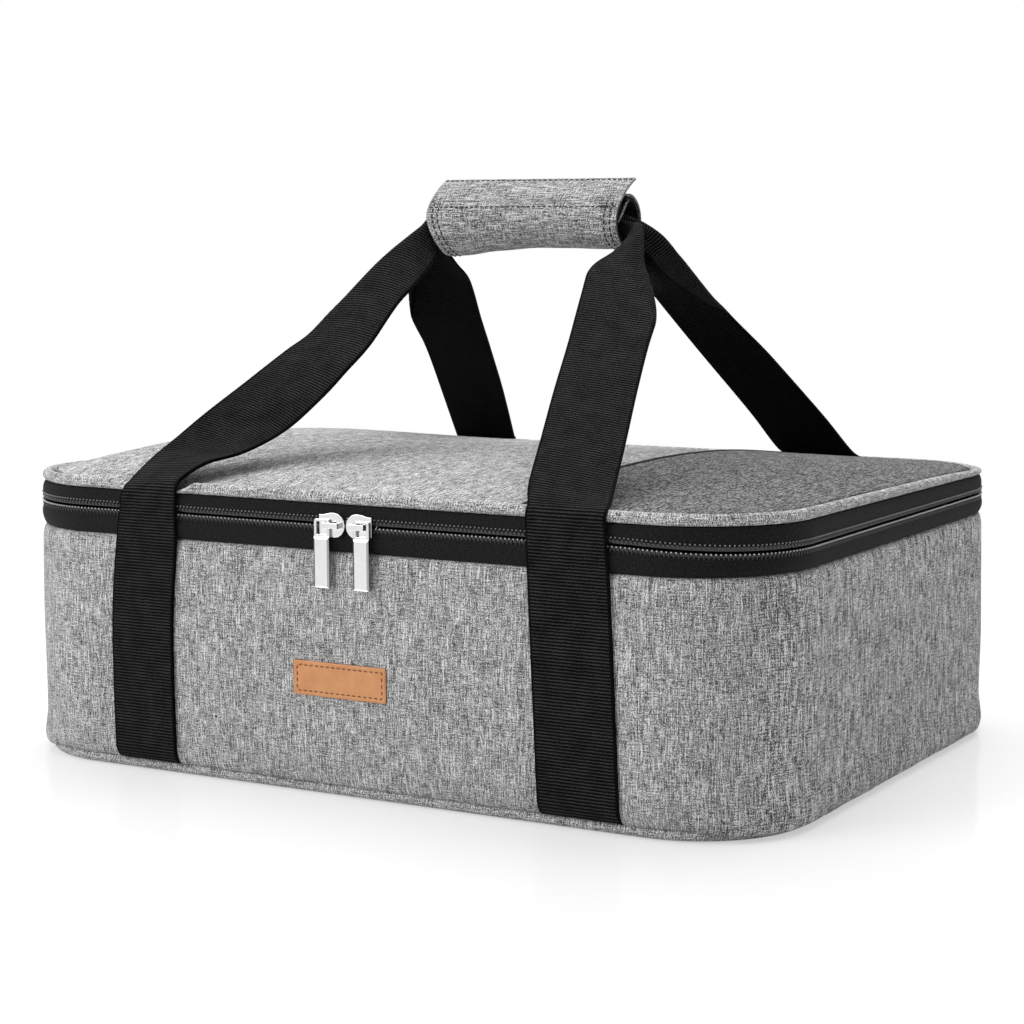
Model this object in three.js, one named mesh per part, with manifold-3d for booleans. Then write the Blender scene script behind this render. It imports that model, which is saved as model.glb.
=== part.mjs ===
// Insulated casserole carrier: a padded tub, a zipped lid and two webbing handles held in one grip.
// Millimetres, +Z up. The origin is the middle of the underside, and -Y is the side of the zip pulls.
import * as THREE from "three";
import { mergeVertices } from "three/addons/utils/BufferGeometryUtils.js";
import Module from "manifold-3d";

const wasm = await Module();
wasm.setup();
const radians = THREE.MathUtils.degToRad;
const degrees = THREE.MathUtils.radToDeg;

// Tub
const bodyLength = 408;
const bodyWidth = 312;
const cornerRadius = 55;
const wallHeight = 112.7; // floor to the lower edge of the zip band
const bottomRoll = 10; // height of the wall's rounded foot
const bottomTuck = 6; // how far the foot pulls in to the base seam
const topRoll = 7; // height of the wall's rounded top edge
const topTuck = 2; // how far that edge pulls in to the zip band
const basePipingDiameter = 5;
const basePipingInset = 2; // from the wall's face to the piping's outer side
const floorLift = 0.3; // the piping's height above the surface that the base rests on

// Layers
const fabricThickness = 1;
const foamThickness = 7;
const baseFoamThickness = 6;
const boardThickness = 2;
const linerThickness = 0.8;
const bindingHeight = 4;
const layerGap = 0.3; // clearance between sewn layers

// Zip
const chainRise = 12.3; // from the wall's top to the middle of the chain
const bandHeight = 21.4;
const tapeThickness = 1;
const tapeInset = 1.2; // from the wall's face to the tape's outer side
const chainSlot = 1.4; // room between the two coils for the sliders' posts
const coilHeight = 2.5;
const coilDepth = 1.3;
const hingeMargin = 9; // straight zip past each rear corner, before the cloth hinge
const hingeGap = 0.4;

// Lid
const lidPipingDiameter = 5.4;
const lidFoamThickness = 8;
const lidShoulder = 7; // from the piping to the first ring of the padded top
const lidCrown = 12; // rise of the padded top above its edge
const hingeSettle = 4; // how much lower the lid's edge lies on the hinge side
const lidLayerGap = 0.4;
const pocketMouth = 89; // distance of the pocket's mouth from the middle
const pocketThickness = 0.8;
const pocketBindingWidth = 2.4;
const pocketBindingThickness = 1.2;

// Handles
const strapWidth = 38.4;
const strapSpacing = 227;
const webbingThickness = 1.5;
const legLean = 0.06; // share of the leg's sideways run that is taken up before the bend
const legBend = 72; // angle that the webbing turns through over the lid's edge
const legPull = 78; // how far the leg keeps that direction
const mouthPull = 14; // how far it runs straight on as it leaves the grip
const mouthFall = 16; // and how far it falls there
const legTwist = 0.7; // how far the leg's face turns towards the middle
const foldShare = 0.1; // share of the half width that makes the rounded fold
const foldedHalfWidth = 18;
const foldStart = 0.45; // share of the slanted leg that is still flat
const skewEnd = 0.3; // share of the leg over which the webbing turns square to its path

// Grip
const gripLength = 107;
const gripRadius = 13.4;
const gripHeight = 258.6;
const gripShift = 10; // the grip hangs this far right of the middle
const gripLean = -1.5; // and this far to the front
const gripClothThickness = 1.2;
const gripLiningThickness = 1.5;
const gripSeamAngle = 130;
const gripWrapEnd = 98;
const flapLength = 19;
const fastenerThickness = 0.6;
const fastenerWidth = 10;
const fastenerMargin = 10; // from each end of the grip to the fastener strips
const handleGap = 0.4; // between the two folded webbings

// Label
const labelLength = 50;
const labelHeight = 16;
const labelThickness = 1.6;
const labelRadius = 1.5;
const labelShift = -1.5;
const labelMiddle = 54.2;

// Sliders and pulls
const sliderMeeting = 2.5; // where the two noses meet
const noseGap = 0.6;
const sliderLength = 13.7;
const noseHalfHeight = 5.6;
const tailHalfHeight = 4.5;
const noseLength = 5.7;
const sliderPlate = 1.3;
const sliderClearance = 0.3;
const postThickness = 0.8;
const postLength = 5;
const postSetback = 2; // from the tip of the nose
const crownHeight = 2.6;
const crownThickness = 0.9;
const crownSetback = 2.8; // from the tail to the crown's outer foot
const crownLength = 8.5;
const footThickness = 1.2;
const pullWidth = 8.3;
const pullShift = -1.2; // both pulls lean this far to the left on their feet
const pullDrop = 28.5; // from the crown to the pull's lower end
const pullThickness = 2;
const pullRingThickness = 1.1;
const pullBar = 1.4;
const pullTopBar = 1.1;
const pullWindow = 5.9;
const pullRadius = 1.6;

// Facets
const cornerSteps = 8;
const rollSteps = 4;
const pipingSides = 8;
const legSteps = 14;
const curveSteps = 4;
const arcFacet = 15; // degrees
const domeScales = [1, 0.9, 0.75, 0.55, 0.3, 0.08]; // rings of the lid, as shares of its outline
const weldDistance = 1e-4;

// Heights and planes that follow from those
const halfLength = bodyLength / 2;
const halfWidth = bodyWidth / 2;
const chainHeight = wallHeight + chainRise;
const bandTop = wallHeight + bandHeight;
const footHeight = floorLift + basePipingDiameter + layerGap;
const lidEdge = bandTop + lidPipingDiameter / 2 + fabricThickness / 2;
const lidTop = bandTop + lidPipingDiameter;
const settleShare = hingeSettle / (lidTop - chainHeight);
const hingeHalf = halfLength - cornerRadius - hingeMargin;
const tapeFront = -tapeInset;
const tapeBack = tapeFront - tapeThickness;
const coilBack = tapeFront + layerGap;
const coilFront = coilBack + coilDepth;
const coilHalf = chainSlot / 2 + coilHeight;
const foamFront = -(fabricThickness + layerGap);
const foamBack = foamFront - foamThickness;
const linerFront = foamBack - layerGap;
const linerBack = linerFront - linerThickness;
const boardBottom = fabricThickness + layerGap;
const baseFoamBottom = boardBottom + boardThickness + layerGap;
const linerBottom = baseFoamBottom + baseFoamThickness + layerGap;
const baseEdge = -(basePipingInset + basePipingDiameter + layerGap);

// Closed skin through loops of equally many points. A wrapped skin joins the last loop to the first.
// The two halves of a loop are the two faces of a layer, and are split along the same diagonals.
function skin(loops, wrap = false) {
  const count = loops[0].length;
  const last = loops.length - 1;
  const corner = (row, i) => (row % loops.length) * count + (i % count);
  const index = [];
  for (let row = 0; row < (wrap ? loops.length : last); row++) {
    for (let i = 0; i < count; i++) {
      const [a, b] = [corner(row, i), corner(row, i + 1)];
      const [c, d] = [corner(row + 1, i + 1), corner(row + 1, i)];
      index.push(...(i < count / 2 ? [a, b, c, a, c, d] : [a, b, d, b, c, d]));
    }
  }
  const cap = (row, flip) => {
    for (let i = 0; i < count / 2 - 1; i++) {
      const [a, b] = [corner(row, i), corner(row, i + 1)];
      const [c, d] = [corner(row, count - 2 - i), corner(row, count - 1 - i)];
      const faces = b === c ? [a, b, d] : [a, b, c, a, c, d];
      index.push(...(flip ? faces.reverse() : faces));
    }
  };
  if (!wrap) {
    cap(0, true);
    cap(last, false);
  }
  const geometry = new THREE.BufferGeometry();
  geometry.setAttribute("position", new THREE.Float32BufferAttribute(loops.flat(2), 3));
  geometry.setIndex(volumeOf(loops.flat(), index) < 0 ? index.reverse() : index);
  return geometry;
}

function volumeOf(points, index) {
  let sum = 0;
  for (let i = 0; i < index.length; i += 3) {
    const [a, b, c] = [0, 1, 2].map((k) => new THREE.Vector3(...points[index[i + k]]));
    sum += a.dot(b.cross(c)) / 6;
  }
  return sum;
}

// Boolean work on closed geometries
function solidOf(geometry) {
  const plain = geometry.clone();
  plain.deleteAttribute("normal");
  plain.deleteAttribute("uv");
  const merged = mergeVertices(plain, weldDistance);
  const vertProperties = new Float32Array(merged.attributes.position.array);
  const triVerts = new Uint32Array(merged.index.array);
  return new wasm.Manifold(new wasm.Mesh({ numProp: 3, vertProperties, triVerts }));
}

function geometryOf(solid) {
  const mesh = solid.getMesh();
  const geometry = new THREE.BufferGeometry();
  geometry.setAttribute("position", new THREE.BufferAttribute(mesh.vertProperties, 3));
  geometry.setIndex(new THREE.BufferAttribute(mesh.triVerts, 1));
  return geometry;
}

function joined(...geometries) {
  return geometryOf(geometries.map(solidOf).reduce((sum, next) => sum.add(next)));
}

// Box between two corners
function block(low, high) {
  const size = high.map((value, i) => value - low[i]);
  const geometry = new THREE.BoxGeometry(...size);
  return geometry.translate(...low.map((value, i) => value + size[i] / 2));
}

// Plan of the body: points with outward normals, round from the hinge's left end to its right end
const rim = [
  { x: -hingeHalf, y: halfWidth, nx: 0, ny: 1 },
  ...[[-1, 1, 90], [-1, -1, 180], [1, -1, 270], [1, 1, 0]].flatMap(([sideX, sideY, start]) =>
    Array.from({ length: cornerSteps + 1 }, (_, i) => {
      const angle = radians(start + (90 * i) / cornerSteps);
      const [nx, ny] = [Math.cos(angle), Math.sin(angle)];
      return {
        x: sideX * (halfLength - cornerRadius) + nx * cornerRadius,
        y: sideY * (halfWidth - cornerRadius) + ny * cornerRadius,
        nx,
        ny,
      };
    }),
  ),
  { x: hingeHalf, y: halfWidth, nx: 0, ny: 1 },
];

// The lid's soft parts sink a little towards the hinge, in proportion to their height above the chain.
function settled(z, y) {
  return chainHeight + (z - chainHeight) * (1 - (settleShare * (y + halfWidth)) / bodyWidth);
}

const level = (z) => z;

function rimPoint(point, outset, z, height) {
  const y = point.y + point.ny * outset;
  return [point.x + point.nx * outset, y, height(z, y)];
}

// A full lap starts on the left side, so that the strips of a cap run from the front to the hinge.
const lapStart = cornerSteps + 2;
const lap = [...rim.slice(lapStart), ...rim.slice(0, lapStart)];

function rimLoop(outset, z, height = level) {
  return lap.map((point) => rimPoint(point, outset, z, height));
}

// A section, as points of outset and height, run all round the body, or only along the zip
function ring(section, height = level) {
  return skin(section.map(([outset, z]) => rimLoop(outset, z, height)), true);
}

function zipRun(section, height = level) {
  return skin(rim.map((point) => section.map(([outset, z]) => rimPoint(point, outset, z, height))));
}

function rectangle(outer, inner, bottom, top) {
  return [[outer, bottom], [outer, top], [inner, top], [inner, bottom]];
}

function circle(middle, height, diameter) {
  return Array.from({ length: pipingSides }, (_, i) => {
    const angle = (2 * Math.PI * (i + 0.5)) / pipingSides;
    const radius = diameter / 2;
    return [middle + radius * Math.cos(angle), height + radius * Math.sin(angle)];
  });
}

function plate(outset, bottom, top) {
  return skin([rimLoop(outset, bottom), rimLoop(outset, top)]);
}

// Wall: straight, with a rounded foot and a rounded top edge. Points of outset and height, upwards.
function rollDepth(share, tuck) {
  return -tuck * (1 - Math.sqrt(1 - share * share));
}

function footPoints() {
  return Array.from({ length: rollSteps + 1 }, (_, i) => {
    const share = 1 - i / rollSteps;
    return [rollDepth(share, bottomTuck), footHeight + bottomRoll * (1 - share)];
  });
}

function topPoints() {
  return Array.from({ length: rollSteps + 1 }, (_, i) => {
    const share = i / rollSteps;
    return [rollDepth(share, topTuck), wallHeight - topRoll * (1 - share)];
  });
}

const shifted = (points, outset) => points.map(([o, z]) => [o + outset, z]);
const wallLine = [...footPoints(), ...topPoints()];

function makeWallFabric() {
  return ring([...wallLine, ...shifted(wallLine, -fabricThickness).reverse()]);
}

function makeWallFoam() {
  const raised = (points, rise) => shifted(points, foamFront).map(([o, z]) => [o, z + rise]);
  const line = [...raised(footPoints(), layerGap), ...raised(topPoints(), -layerGap)];
  return ring([...line, [foamBack, line.at(-1)[1]], [foamBack, line[0][1]]]);
}

function makeLiner() {
  const top = wallHeight - layerGap;
  const floor = linerBottom + linerThickness;
  return skin([
    rimLoop(linerFront, linerBottom),
    rimLoop(linerFront, top),
    rimLoop(linerBack, top),
    rimLoop(linerBack, floor),
  ]);
}

function makeRimBinding() {
  const bottom = wallHeight + layerGap;
  return ring(rectangle(tapeBack - layerGap, linerBack, bottom, bottom + bindingHeight));
}

// Zip band. Its parts stand above or below the middle of the chain.
function coilSection(bottom, top) {
  const bevel = coilDepth / 2;
  return [
    [coilBack, bottom],
    [coilFront - bevel, bottom],
    [coilFront, bottom + bevel],
    [coilFront, top - bevel],
    [coilFront - bevel, top],
    [coilBack, top],
  ];
}

function hingeStrip(bottom, top, height = level) {
  const reach = hingeHalf - layerGap;
  const section = rectangle(halfWidth + tapeFront, halfWidth + tapeBack, bottom, top);
  return skin([-reach, reach].map((x) => section.map(([y, z]) => [x, y, height(z, y)])));
}

const tapeLow = wallHeight + layerGap;
const tapeHigh = bandTop - layerGap;
const slotLow = chainHeight - chainSlot / 2;
const slotHigh = chainHeight + chainSlot / 2;

// Lid: a crowned top whose layers share the same facets
const domeBase = rimLoop(-(lidPipingDiameter + lidShoulder), 0);

function domeHeight(x, y) {
  const across = 1 - (x / (halfLength - lidPipingDiameter)) ** 4;
  const along = 1 - (y / (halfWidth - lidPipingDiameter)) ** 2;
  return lidEdge + lidCrown * across * along;
}

function domeShell(edgeOutset, offset, thickness) {
  const rings = domeScales.map((share) => domeBase.map(([x, y]) => [x * share, y * share]));
  const plan = [rimLoop(edgeOutset, 0), ...rings];
  const surface = (drop) =>
    plan.map((loop) => loop.map(([x, y]) => [x, y, settled(domeHeight(x, y) + offset - drop, y)]));
  return skin([...surface(thickness).reverse(), ...surface(0)]);
}

const lidEdgeOutset = -(lidPipingDiameter + layerGap);
const lidFoamOffset = -(fabricThickness + lidLayerGap);
const lidLinerOffset = lidFoamOffset - lidFoamThickness - lidLayerGap;
const bindingLeft = pocketMouth - pocketBindingWidth / 2;
const bindingRight = pocketMouth + pocketBindingWidth / 2;
const pocketLeft = bindingRight + layerGap;

function lidSlice(thickness, left, right) {
  const shell = solidOf(domeShell(lidEdgeOutset, lidLayerGap + thickness, thickness));
  const window = block([left, -bodyWidth, wallHeight], [right, bodyWidth, 2 * gripHeight]);
  return geometryOf(shell.intersect(solidOf(window)));
}

// Webbing: stations with a place, an outward direction, a half width and how far it is folded lengthwise
const bandPlane = halfWidth + coilFront + layerGap + webbingThickness / 2;
const legPlane = halfWidth + layerGap + webbingThickness / 2;
const pivotHeight = wallHeight;
const flatMiddle = (1 + foldShare) / 2;
const halfShares = [foldShare / 2, foldShare, flatMiddle, 1];
const foldShares = [...halfShares.map((share) => -share).reverse(), 0, ...halfShares];

function sectionPoint(station, share, rise) {
  const { place, across, out, half, fold } = station;
  const bend = (fold * Math.PI) / 2;
  const reach = Math.abs(share) * half;
  const arc = Math.min(reach, foldShare * half);
  const flat = reach - arc;
  const radius = bend > 0 ? (foldShare * half) / bend : 0;
  const turn = bend * (arc / (foldShare * half));
  const curved = bend > 0 ? radius * Math.sin(turn) : arc;
  const sideways = curved + flat * Math.cos(turn) + rise * Math.sin(turn);
  const drop = radius * (1 - Math.cos(turn)) + flat * Math.sin(turn) - rise * Math.cos(turn);
  const point = place.clone().addScaledVector(across, Math.sign(share) * sideways);
  return point.addScaledVector(out, -drop).toArray();
}

function webbing(stations) {
  const outer = (s) => foldShares.map((share) => sectionPoint(s, share, webbingThickness / 2));
  const inner = (s) => foldShares.map((share) => sectionPoint(s, share, -webbingThickness / 2));
  return skin(stations.map((s) => [...outer(s), ...inner(s).reverse()]));
}

const foldRadius = (foldShare * foldedHalfWidth) / (Math.PI / 2);
const foldedDepth = 2 * foldRadius + webbingThickness;
const foldedHeight = (1 - foldShare) * foldedHalfWidth + foldRadius + webbingThickness / 2;
const ridgeHeight = gripHeight + foldedHeight / 2 - webbingThickness / 2;
const gripEnd = gripLength / 2;

// One leg from the wall, over the lid's piping and up to the grip. Side is -1 at the front, and hand
// is -1 on the left.
function legKnots(side, hand) {
  const x = (hand * strapSpacing) / 2;
  const pipingPlane = halfWidth - lidPipingDiameter / 2;
  const pipingHeight = settled(bandTop + lidPipingDiameter / 2, side * halfWidth);
  const bendRadius = bandPlane - pipingPlane;
  const mouth = new THREE.Vector3(
    gripShift + hand * (gripEnd + layerGap),
    gripLean + (side * (foldedDepth + handleGap)) / 2,
    ridgeHeight,
  );
  const facing = (angle) => new THREE.Vector3(0, side * Math.cos(angle), Math.sin(angle));
  const bendKnot = (angle) => {
    const place = facing(angle).multiplyScalar(bendRadius);
    place.x = THREE.MathUtils.lerp(x, mouth.x, legLean);
    place.y += side * pipingPlane;
    place.z += pipingHeight;
    return { place, out: facing(angle), fold: 0, skew: 0 };
  };
  const turn = radians(legBend);
  const start = bendKnot(turn).place;
  const heading = facing(turn + Math.PI / 2).setX((mouth.x - start.x) / legPull / 2);
  const leg = new THREE.CubicBezierCurve3(
    start,
    start.clone().addScaledVector(heading, legPull),
    mouth.clone().add(new THREE.Vector3(hand * mouthPull, 0, -mouthFall)),
    mouth,
  );
  const legKnot = (share) => {
    const out = facing(THREE.MathUtils.lerp(turn, Math.PI / 2, share));
    out.x = -hand * legTwist * Math.sin(share * Math.PI);
    const fold = THREE.MathUtils.smoothstep(share, foldStart, 1);
    const skew = THREE.MathUtils.smoothstep(share, 0, skewEnd);
    return { place: leg.getPoint(share), out: out.normalize(), fold, skew };
  };
  const wallKnot = (plane, z) => {
    return { place: new THREE.Vector3(x, side * plane, z), out: facing(0), fold: 0, skew: 0 };
  };
  return [
    wallKnot(legPlane, pivotHeight + layerGap),
    wallKnot(bandPlane, pivotHeight + topRoll),
    ...[0, turn / 2].map(bendKnot),
    ...Array.from({ length: legSteps + 1 }, (_, i) => legKnot(i / legSteps)),
  ];
}

function handleStations(side) {
  const knots = [...legKnots(side, -1), ...legKnots(side, 1).reverse()];
  return knots.map(({ place, out, fold, skew }, i) => {
    const before = knots[Math.max(i - 1, 0)].place;
    const after = knots[Math.min(i + 1, knots.length - 1)].place;
    const square = out.clone().cross(after.clone().sub(before)).normalize();
    const across = new THREE.Vector3(Math.sign(square.x), 0, 0).lerp(square, skew).normalize();
    return { place, out, across, fold, half: THREE.MathUtils.lerp(strapWidth / 2, foldedHalfWidth, fold) };
  });
}

// Sewn leg: webbing that lies on the wall from the base seam to the handle's pivot
function strapLeg(side, hand) {
  const line = [...footPoints(), [0, pivotHeight - layerGap]];
  const section = [...shifted(line, layerGap + webbingThickness), ...shifted(line, layerGap).reverse()];
  const middle = (hand * strapSpacing) / 2;
  const edges = [middle - strapWidth / 2, middle + strapWidth / 2];
  return skin(edges.map((x) => section.map(([outset, z]) => [x, side * (halfWidth + outset), z])));
}

// Grip: a sleeve round both folded handles, open along its top where the flap closes it
function gripPoint(x, radius, angle) {
  const turn = radians(angle);
  return [x, gripLean + radius * Math.cos(turn), gripHeight + radius * Math.sin(turn)];
}

function gripArc(inner, outer, startAngle, endAngle, length) {
  const sweep = endAngle - startAngle;
  const steps = Math.ceil(sweep / arcFacet);
  const angles = Array.from({ length: steps + 1 }, (_, i) => startAngle + (sweep * i) / steps);
  const section = (x) => [
    ...angles.map((angle) => gripPoint(x, outer, angle)),
    ...angles.map((angle) => gripPoint(x, inner, angle)).reverse(),
  ];
  return skin([section(gripShift - length / 2), section(gripShift + length / 2)]);
}

// A strip along the flap: distances from the seam line and from the grip's axis
function flapStrip(near, far, inner, outer, length) {
  const turn = radians(gripSeamAngle);
  const point = (x, along, away) => [
    x,
    gripLean + away * Math.cos(turn) + along * Math.sin(turn),
    gripHeight + away * Math.sin(turn) - along * Math.cos(turn),
  ];
  const section = (x) => [
    point(x, near, outer),
    point(x, far, outer),
    point(x, far, inner),
    point(x, near, inner),
  ];
  return skin([section(gripShift - length / 2), section(gripShift + length / 2)]);
}

const gripClothInner = gripRadius - gripClothThickness;
const gripLiningOuter = gripClothInner - layerGap;
const seamGapAngle = degrees(layerGap / gripRadius);
const fastenerLength = gripLength - 2 * fastenerMargin;
const hookOuter = gripClothInner - layerGap;
const hookInner = hookOuter - fastenerThickness;
const loopInner = gripRadius + layerGap;
const loopOuter = loopInner + fastenerThickness;
const loopClear = degrees(Math.acos((hookInner - layerGap) / loopOuter));
const loopEnd = gripSeamAngle - loopClear;
const loopStart = loopEnd - degrees(fastenerWidth / loopOuter);
const hookFar = flapLength - layerGap;

// A drawn shape stood up with its face to -Y
function thick(shape, depth) {
  const options = { depth, bevelEnabled: false, curveSegments: curveSteps };
  return new THREE.ExtrudeGeometry(shape, options).rotateX(Math.PI / 2);
}

function makeLabel() {
  const [w, h, r] = [labelLength / 2, labelHeight / 2, labelRadius];
  const shape = new THREE.Shape();
  shape.moveTo(-w + r, -h).lineTo(w - r, -h).quadraticCurveTo(w, -h, w, -h + r);
  shape.lineTo(w, h - r).quadraticCurveTo(w, h, w - r, h);
  shape.lineTo(-w + r, h).quadraticCurveTo(-w, h, -w, h - r);
  shape.lineTo(-w, -h + r).quadraticCurveTo(-w, -h, -w + r, -h);
  return thick(shape, labelThickness).translate(labelShift, -halfWidth - layerGap, labelMiddle);
}

// Sliders. Shapes are drawn with the nose at +X and the chain along the X axis, and the right
// slider is the left one mirrored.
function standing(shape, back, front) {
  return thick(shape, front - back).translate(0, -halfWidth - back, chainHeight);
}

function sliderShape() {
  const shape = new THREE.Shape();
  const shoulder = sliderLength - noseLength;
  const [waist, tail, nose] = [shoulder / 2, tailHalfHeight, noseHalfHeight];
  shape.moveTo(0, -tail).bezierCurveTo(waist, -tail, waist, -nose, shoulder, -nose);
  shape.absellipse(shoulder, 0, noseLength, nose, -Math.PI / 2, Math.PI / 2, false);
  shape.bezierCurveTo(waist, nose, waist, tail, 0, tail);
  return shape;
}

const channelFront = coilFront + sliderClearance;
const plateFront = channelFront + sliderPlate;
const channelBack = tapeBack - sliderClearance;
const plateBack = channelBack - sliderPlate;
const lipBack = tapeFront + sliderClearance;
const ringBack = plateFront + sliderClearance;
const ringFront = ringBack + pullRingThickness;
const crownBack = ringFront + sliderClearance;
const crownFront = crownBack + crownThickness;

function makeSlider() {
  const shape = sliderShape();
  const front = solidOf(standing(shape, lipBack, plateFront));
  const channelHalf = coilHalf + sliderClearance;
  const channel = block(
    [-sliderLength, -halfWidth - channelFront, chainHeight - channelHalf],
    [2 * sliderLength, -halfWidth - lipBack + sliderPlate, chainHeight + channelHalf],
  );
  const back = solidOf(standing(shape, plateBack, channelBack));
  const postEnd = sliderLength - postSetback;
  const post = block(
    [postEnd - postLength, -halfWidth - channelFront - sliderPlate / 2, chainHeight - postThickness / 2],
    [postEnd, -halfWidth - channelBack + sliderPlate / 2, chainHeight + postThickness / 2],
  );
  const arch = block(
    [crownSetback, -halfWidth - crownFront, chainHeight - crownHeight / 2],
    [crownSetback + crownLength, -halfWidth - plateFront + sliderPlate / 2, chainHeight + crownHeight / 2],
  );
  const archHole = block(
    [crownSetback + footThickness, -halfWidth - crownBack, chainHeight - crownHeight],
    [crownSetback + crownLength - footThickness, -halfWidth - plateFront, chainHeight + crownHeight],
  );
  const crown = solidOf(arch).subtract(solidOf(archHole));
  const body = front.subtract(solidOf(channel)).add(back).add(solidOf(post)).add(crown);
  return geometryOf(body);
}

// Pull: a ring that hangs on the crown's outer foot, over a flat tab
function makePull() {
  const left = crownSetback + footThickness / 2 - pullBar - (pullWidth - 2 * pullBar) / 2;
  const right = left + pullWidth;
  const top = crownHeight / 2 + sliderClearance + pullTopBar;
  const windowTop = top - pullTopBar;
  const windowBottom = windowTop - pullWindow;
  const shape = new THREE.Shape();
  shape.moveTo(left, -pullDrop).lineTo(right, -pullDrop).lineTo(right, top - pullRadius);
  shape.quadraticCurveTo(right, top, right - pullRadius, top).lineTo(left + pullRadius, top);
  shape.quadraticCurveTo(left, top, left, top - pullRadius);
  const window = new THREE.Path();
  window.moveTo(left + pullBar, windowBottom).lineTo(left + pullBar, windowTop);
  window.lineTo(right - pullBar, windowTop).lineTo(right - pullBar, windowBottom);
  shape.holes.push(window);
  const ringPart = standing(shape, ringBack, ringFront);
  const tab = block(
    [left, -halfWidth - ringBack - pullThickness, chainHeight - pullDrop],
    [right, -halfWidth - ringBack, chainHeight + windowBottom - pullTopBar],
  );
  return joined(ringPart, tab);
}

// Finishes, by colour, roughness and metalness
const finishes = {
  heather: [0x8f8f90, 0.95, 0],
  pocketCloth: [0x5a5a5c, 0.95, 0],
  black: [0x141415, 0.85, 0],
  foam: [0xe6e6e2, 0.9, 0],
  board: [0x303032, 0.7, 0],
  liner: [0xb9bdc2, 0.35, 0.3],
  leather: [0xc07a3e, 0.6, 0],
  metal: [0xe4e4e6, 0.2, 1],
};

const carrier = new THREE.Group();

function addPiece(parent, name, geometry, finish) {
  const [color, roughness, metalness] = finishes[finish];
  const material = new THREE.MeshStandardMaterial({ color, roughness, metalness });
  const mesh = new THREE.Mesh(geometry, material);
  mesh.name = name;
  parent.add(mesh);
  return mesh;
}

const basePipingMiddle = -(basePipingInset + basePipingDiameter / 2);
const basePiping = circle(basePipingMiddle, floorLift + basePipingDiameter / 2, basePipingDiameter);
addPiece(carrier, "base_panel", plate(baseEdge, 0, fabricThickness), "heather");
addPiece(carrier, "base_piping", ring(basePiping), "heather");
addPiece(carrier, "base_board", plate(baseEdge, boardBottom, boardBottom + boardThickness), "board");
addPiece(carrier, "base_foam", plate(linerFront, baseFoamBottom, baseFoamBottom + baseFoamThickness), "foam");
addPiece(carrier, "wall_fabric", makeWallFabric(), "heather");
addPiece(carrier, "wall_foam", makeWallFoam(), "foam");
addPiece(carrier, "liner", makeLiner(), "liner");
addPiece(carrier, "rim_binding", makeRimBinding(), "black");
addPiece(carrier, "zipper_tape_lower", zipRun(rectangle(tapeFront, tapeBack, tapeLow, slotLow)), "black");
addPiece(carrier, "zipper_coil_lower", zipRun(coilSection(slotLow - coilHeight, slotLow)), "black");
addPiece(carrier, "hinge_strip_lower", hingeStrip(tapeLow, chainHeight - hingeGap / 2), "black");
addPiece(carrier, "label_patch", makeLabel(), "leather");

for (const [side, sideName] of [[-1, "front"], [1, "rear"]]) {
  for (const [hand, handName] of [[-1, "left"], [1, "right"]]) {
    addPiece(carrier, `strap_leg_${sideName}_${handName}`, strapLeg(side, hand), "black");
  }
}

const lid = new THREE.Group();
carrier.add(lid);
const lidBindingBottom = tapeHigh - bindingHeight / 2;
const lidBinding = rectangle(tapeBack - layerGap, lidEdgeOutset, lidBindingBottom, tapeHigh);
const lidPiping = circle(-lidPipingDiameter / 2, bandTop + lidPipingDiameter / 2, lidPipingDiameter);
const upperTape = rectangle(tapeFront, tapeBack, slotHigh, tapeHigh);
addPiece(lid, "lid_fabric", domeShell(lidEdgeOutset, 0, fabricThickness), "heather");
addPiece(lid, "lid_foam", domeShell(linerFront, lidFoamOffset, lidFoamThickness), "foam");
addPiece(lid, "lid_liner", domeShell(linerFront, lidLinerOffset, linerThickness), "liner");
addPiece(lid, "lid_rim_binding", ring(lidBinding, settled), "black");
addPiece(lid, "lid_piping", ring(lidPiping, settled), "heather");
addPiece(lid, "zipper_tape_upper", zipRun(upperTape, settled), "black");
addPiece(lid, "zipper_coil_upper", zipRun(coilSection(slotHigh, slotHigh + coilHeight)), "black");
addPiece(lid, "hinge_strip_upper", hingeStrip(chainHeight + hingeGap / 2, tapeHigh, settled), "black");
addPiece(lid, "lid_pocket", lidSlice(pocketThickness, pocketLeft, bodyLength), "pocketCloth");
addPiece(lid, "pocket_binding", lidSlice(pocketBindingThickness, bindingLeft, bindingRight), "black");

const handles = new THREE.Group();
carrier.add(handles);
addPiece(handles, "front_handle_webbing", webbing(handleStations(-1)), "black");
addPiece(handles, "rear_handle_webbing", webbing(handleStations(1)), "black");
const wrapStart = gripSeamAngle + seamGapAngle;
const wrapEnd = gripWrapEnd + 360;
const liningInner = gripLiningOuter - gripLiningThickness;
const gripWrap = gripArc(gripClothInner, gripRadius, wrapStart, wrapEnd, gripLength);
const gripLining = gripArc(liningInner, gripLiningOuter, wrapStart, wrapEnd, gripLength);
const loopStrip = gripArc(loopInner, loopOuter, loopStart, loopEnd, fastenerLength);
const gripFlap = flapStrip(layerGap, flapLength, gripClothInner, gripRadius, gripLength);
const hookStrip = flapStrip(hookFar - fastenerWidth, hookFar, hookInner, hookOuter, fastenerLength);
addPiece(handles, "grip_wrap", gripWrap, "heather");
addPiece(handles, "grip_lining", gripLining, "black");
addPiece(handles, "grip_loop_strip", loopStrip, "black");
addPiece(handles, "grip_flap", gripFlap, "heather");
addPiece(handles, "grip_hook_strip", hookStrip, "black");

for (const [hand, handName] of [[-1, "left"], [1, "right"]]) {
  const zipper = new THREE.Group();
  zipper.position.x = sliderMeeting + hand * (sliderLength + noseGap / 2);
  zipper.scale.x = -hand;
  carrier.add(zipper);
  addPiece(zipper, `${handName}_slider`, makeSlider(), "metal");
  addPiece(zipper, `${handName}_pull`, makePull(), "metal").position.x = -hand * pullShift;
}

export default carrier;
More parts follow.
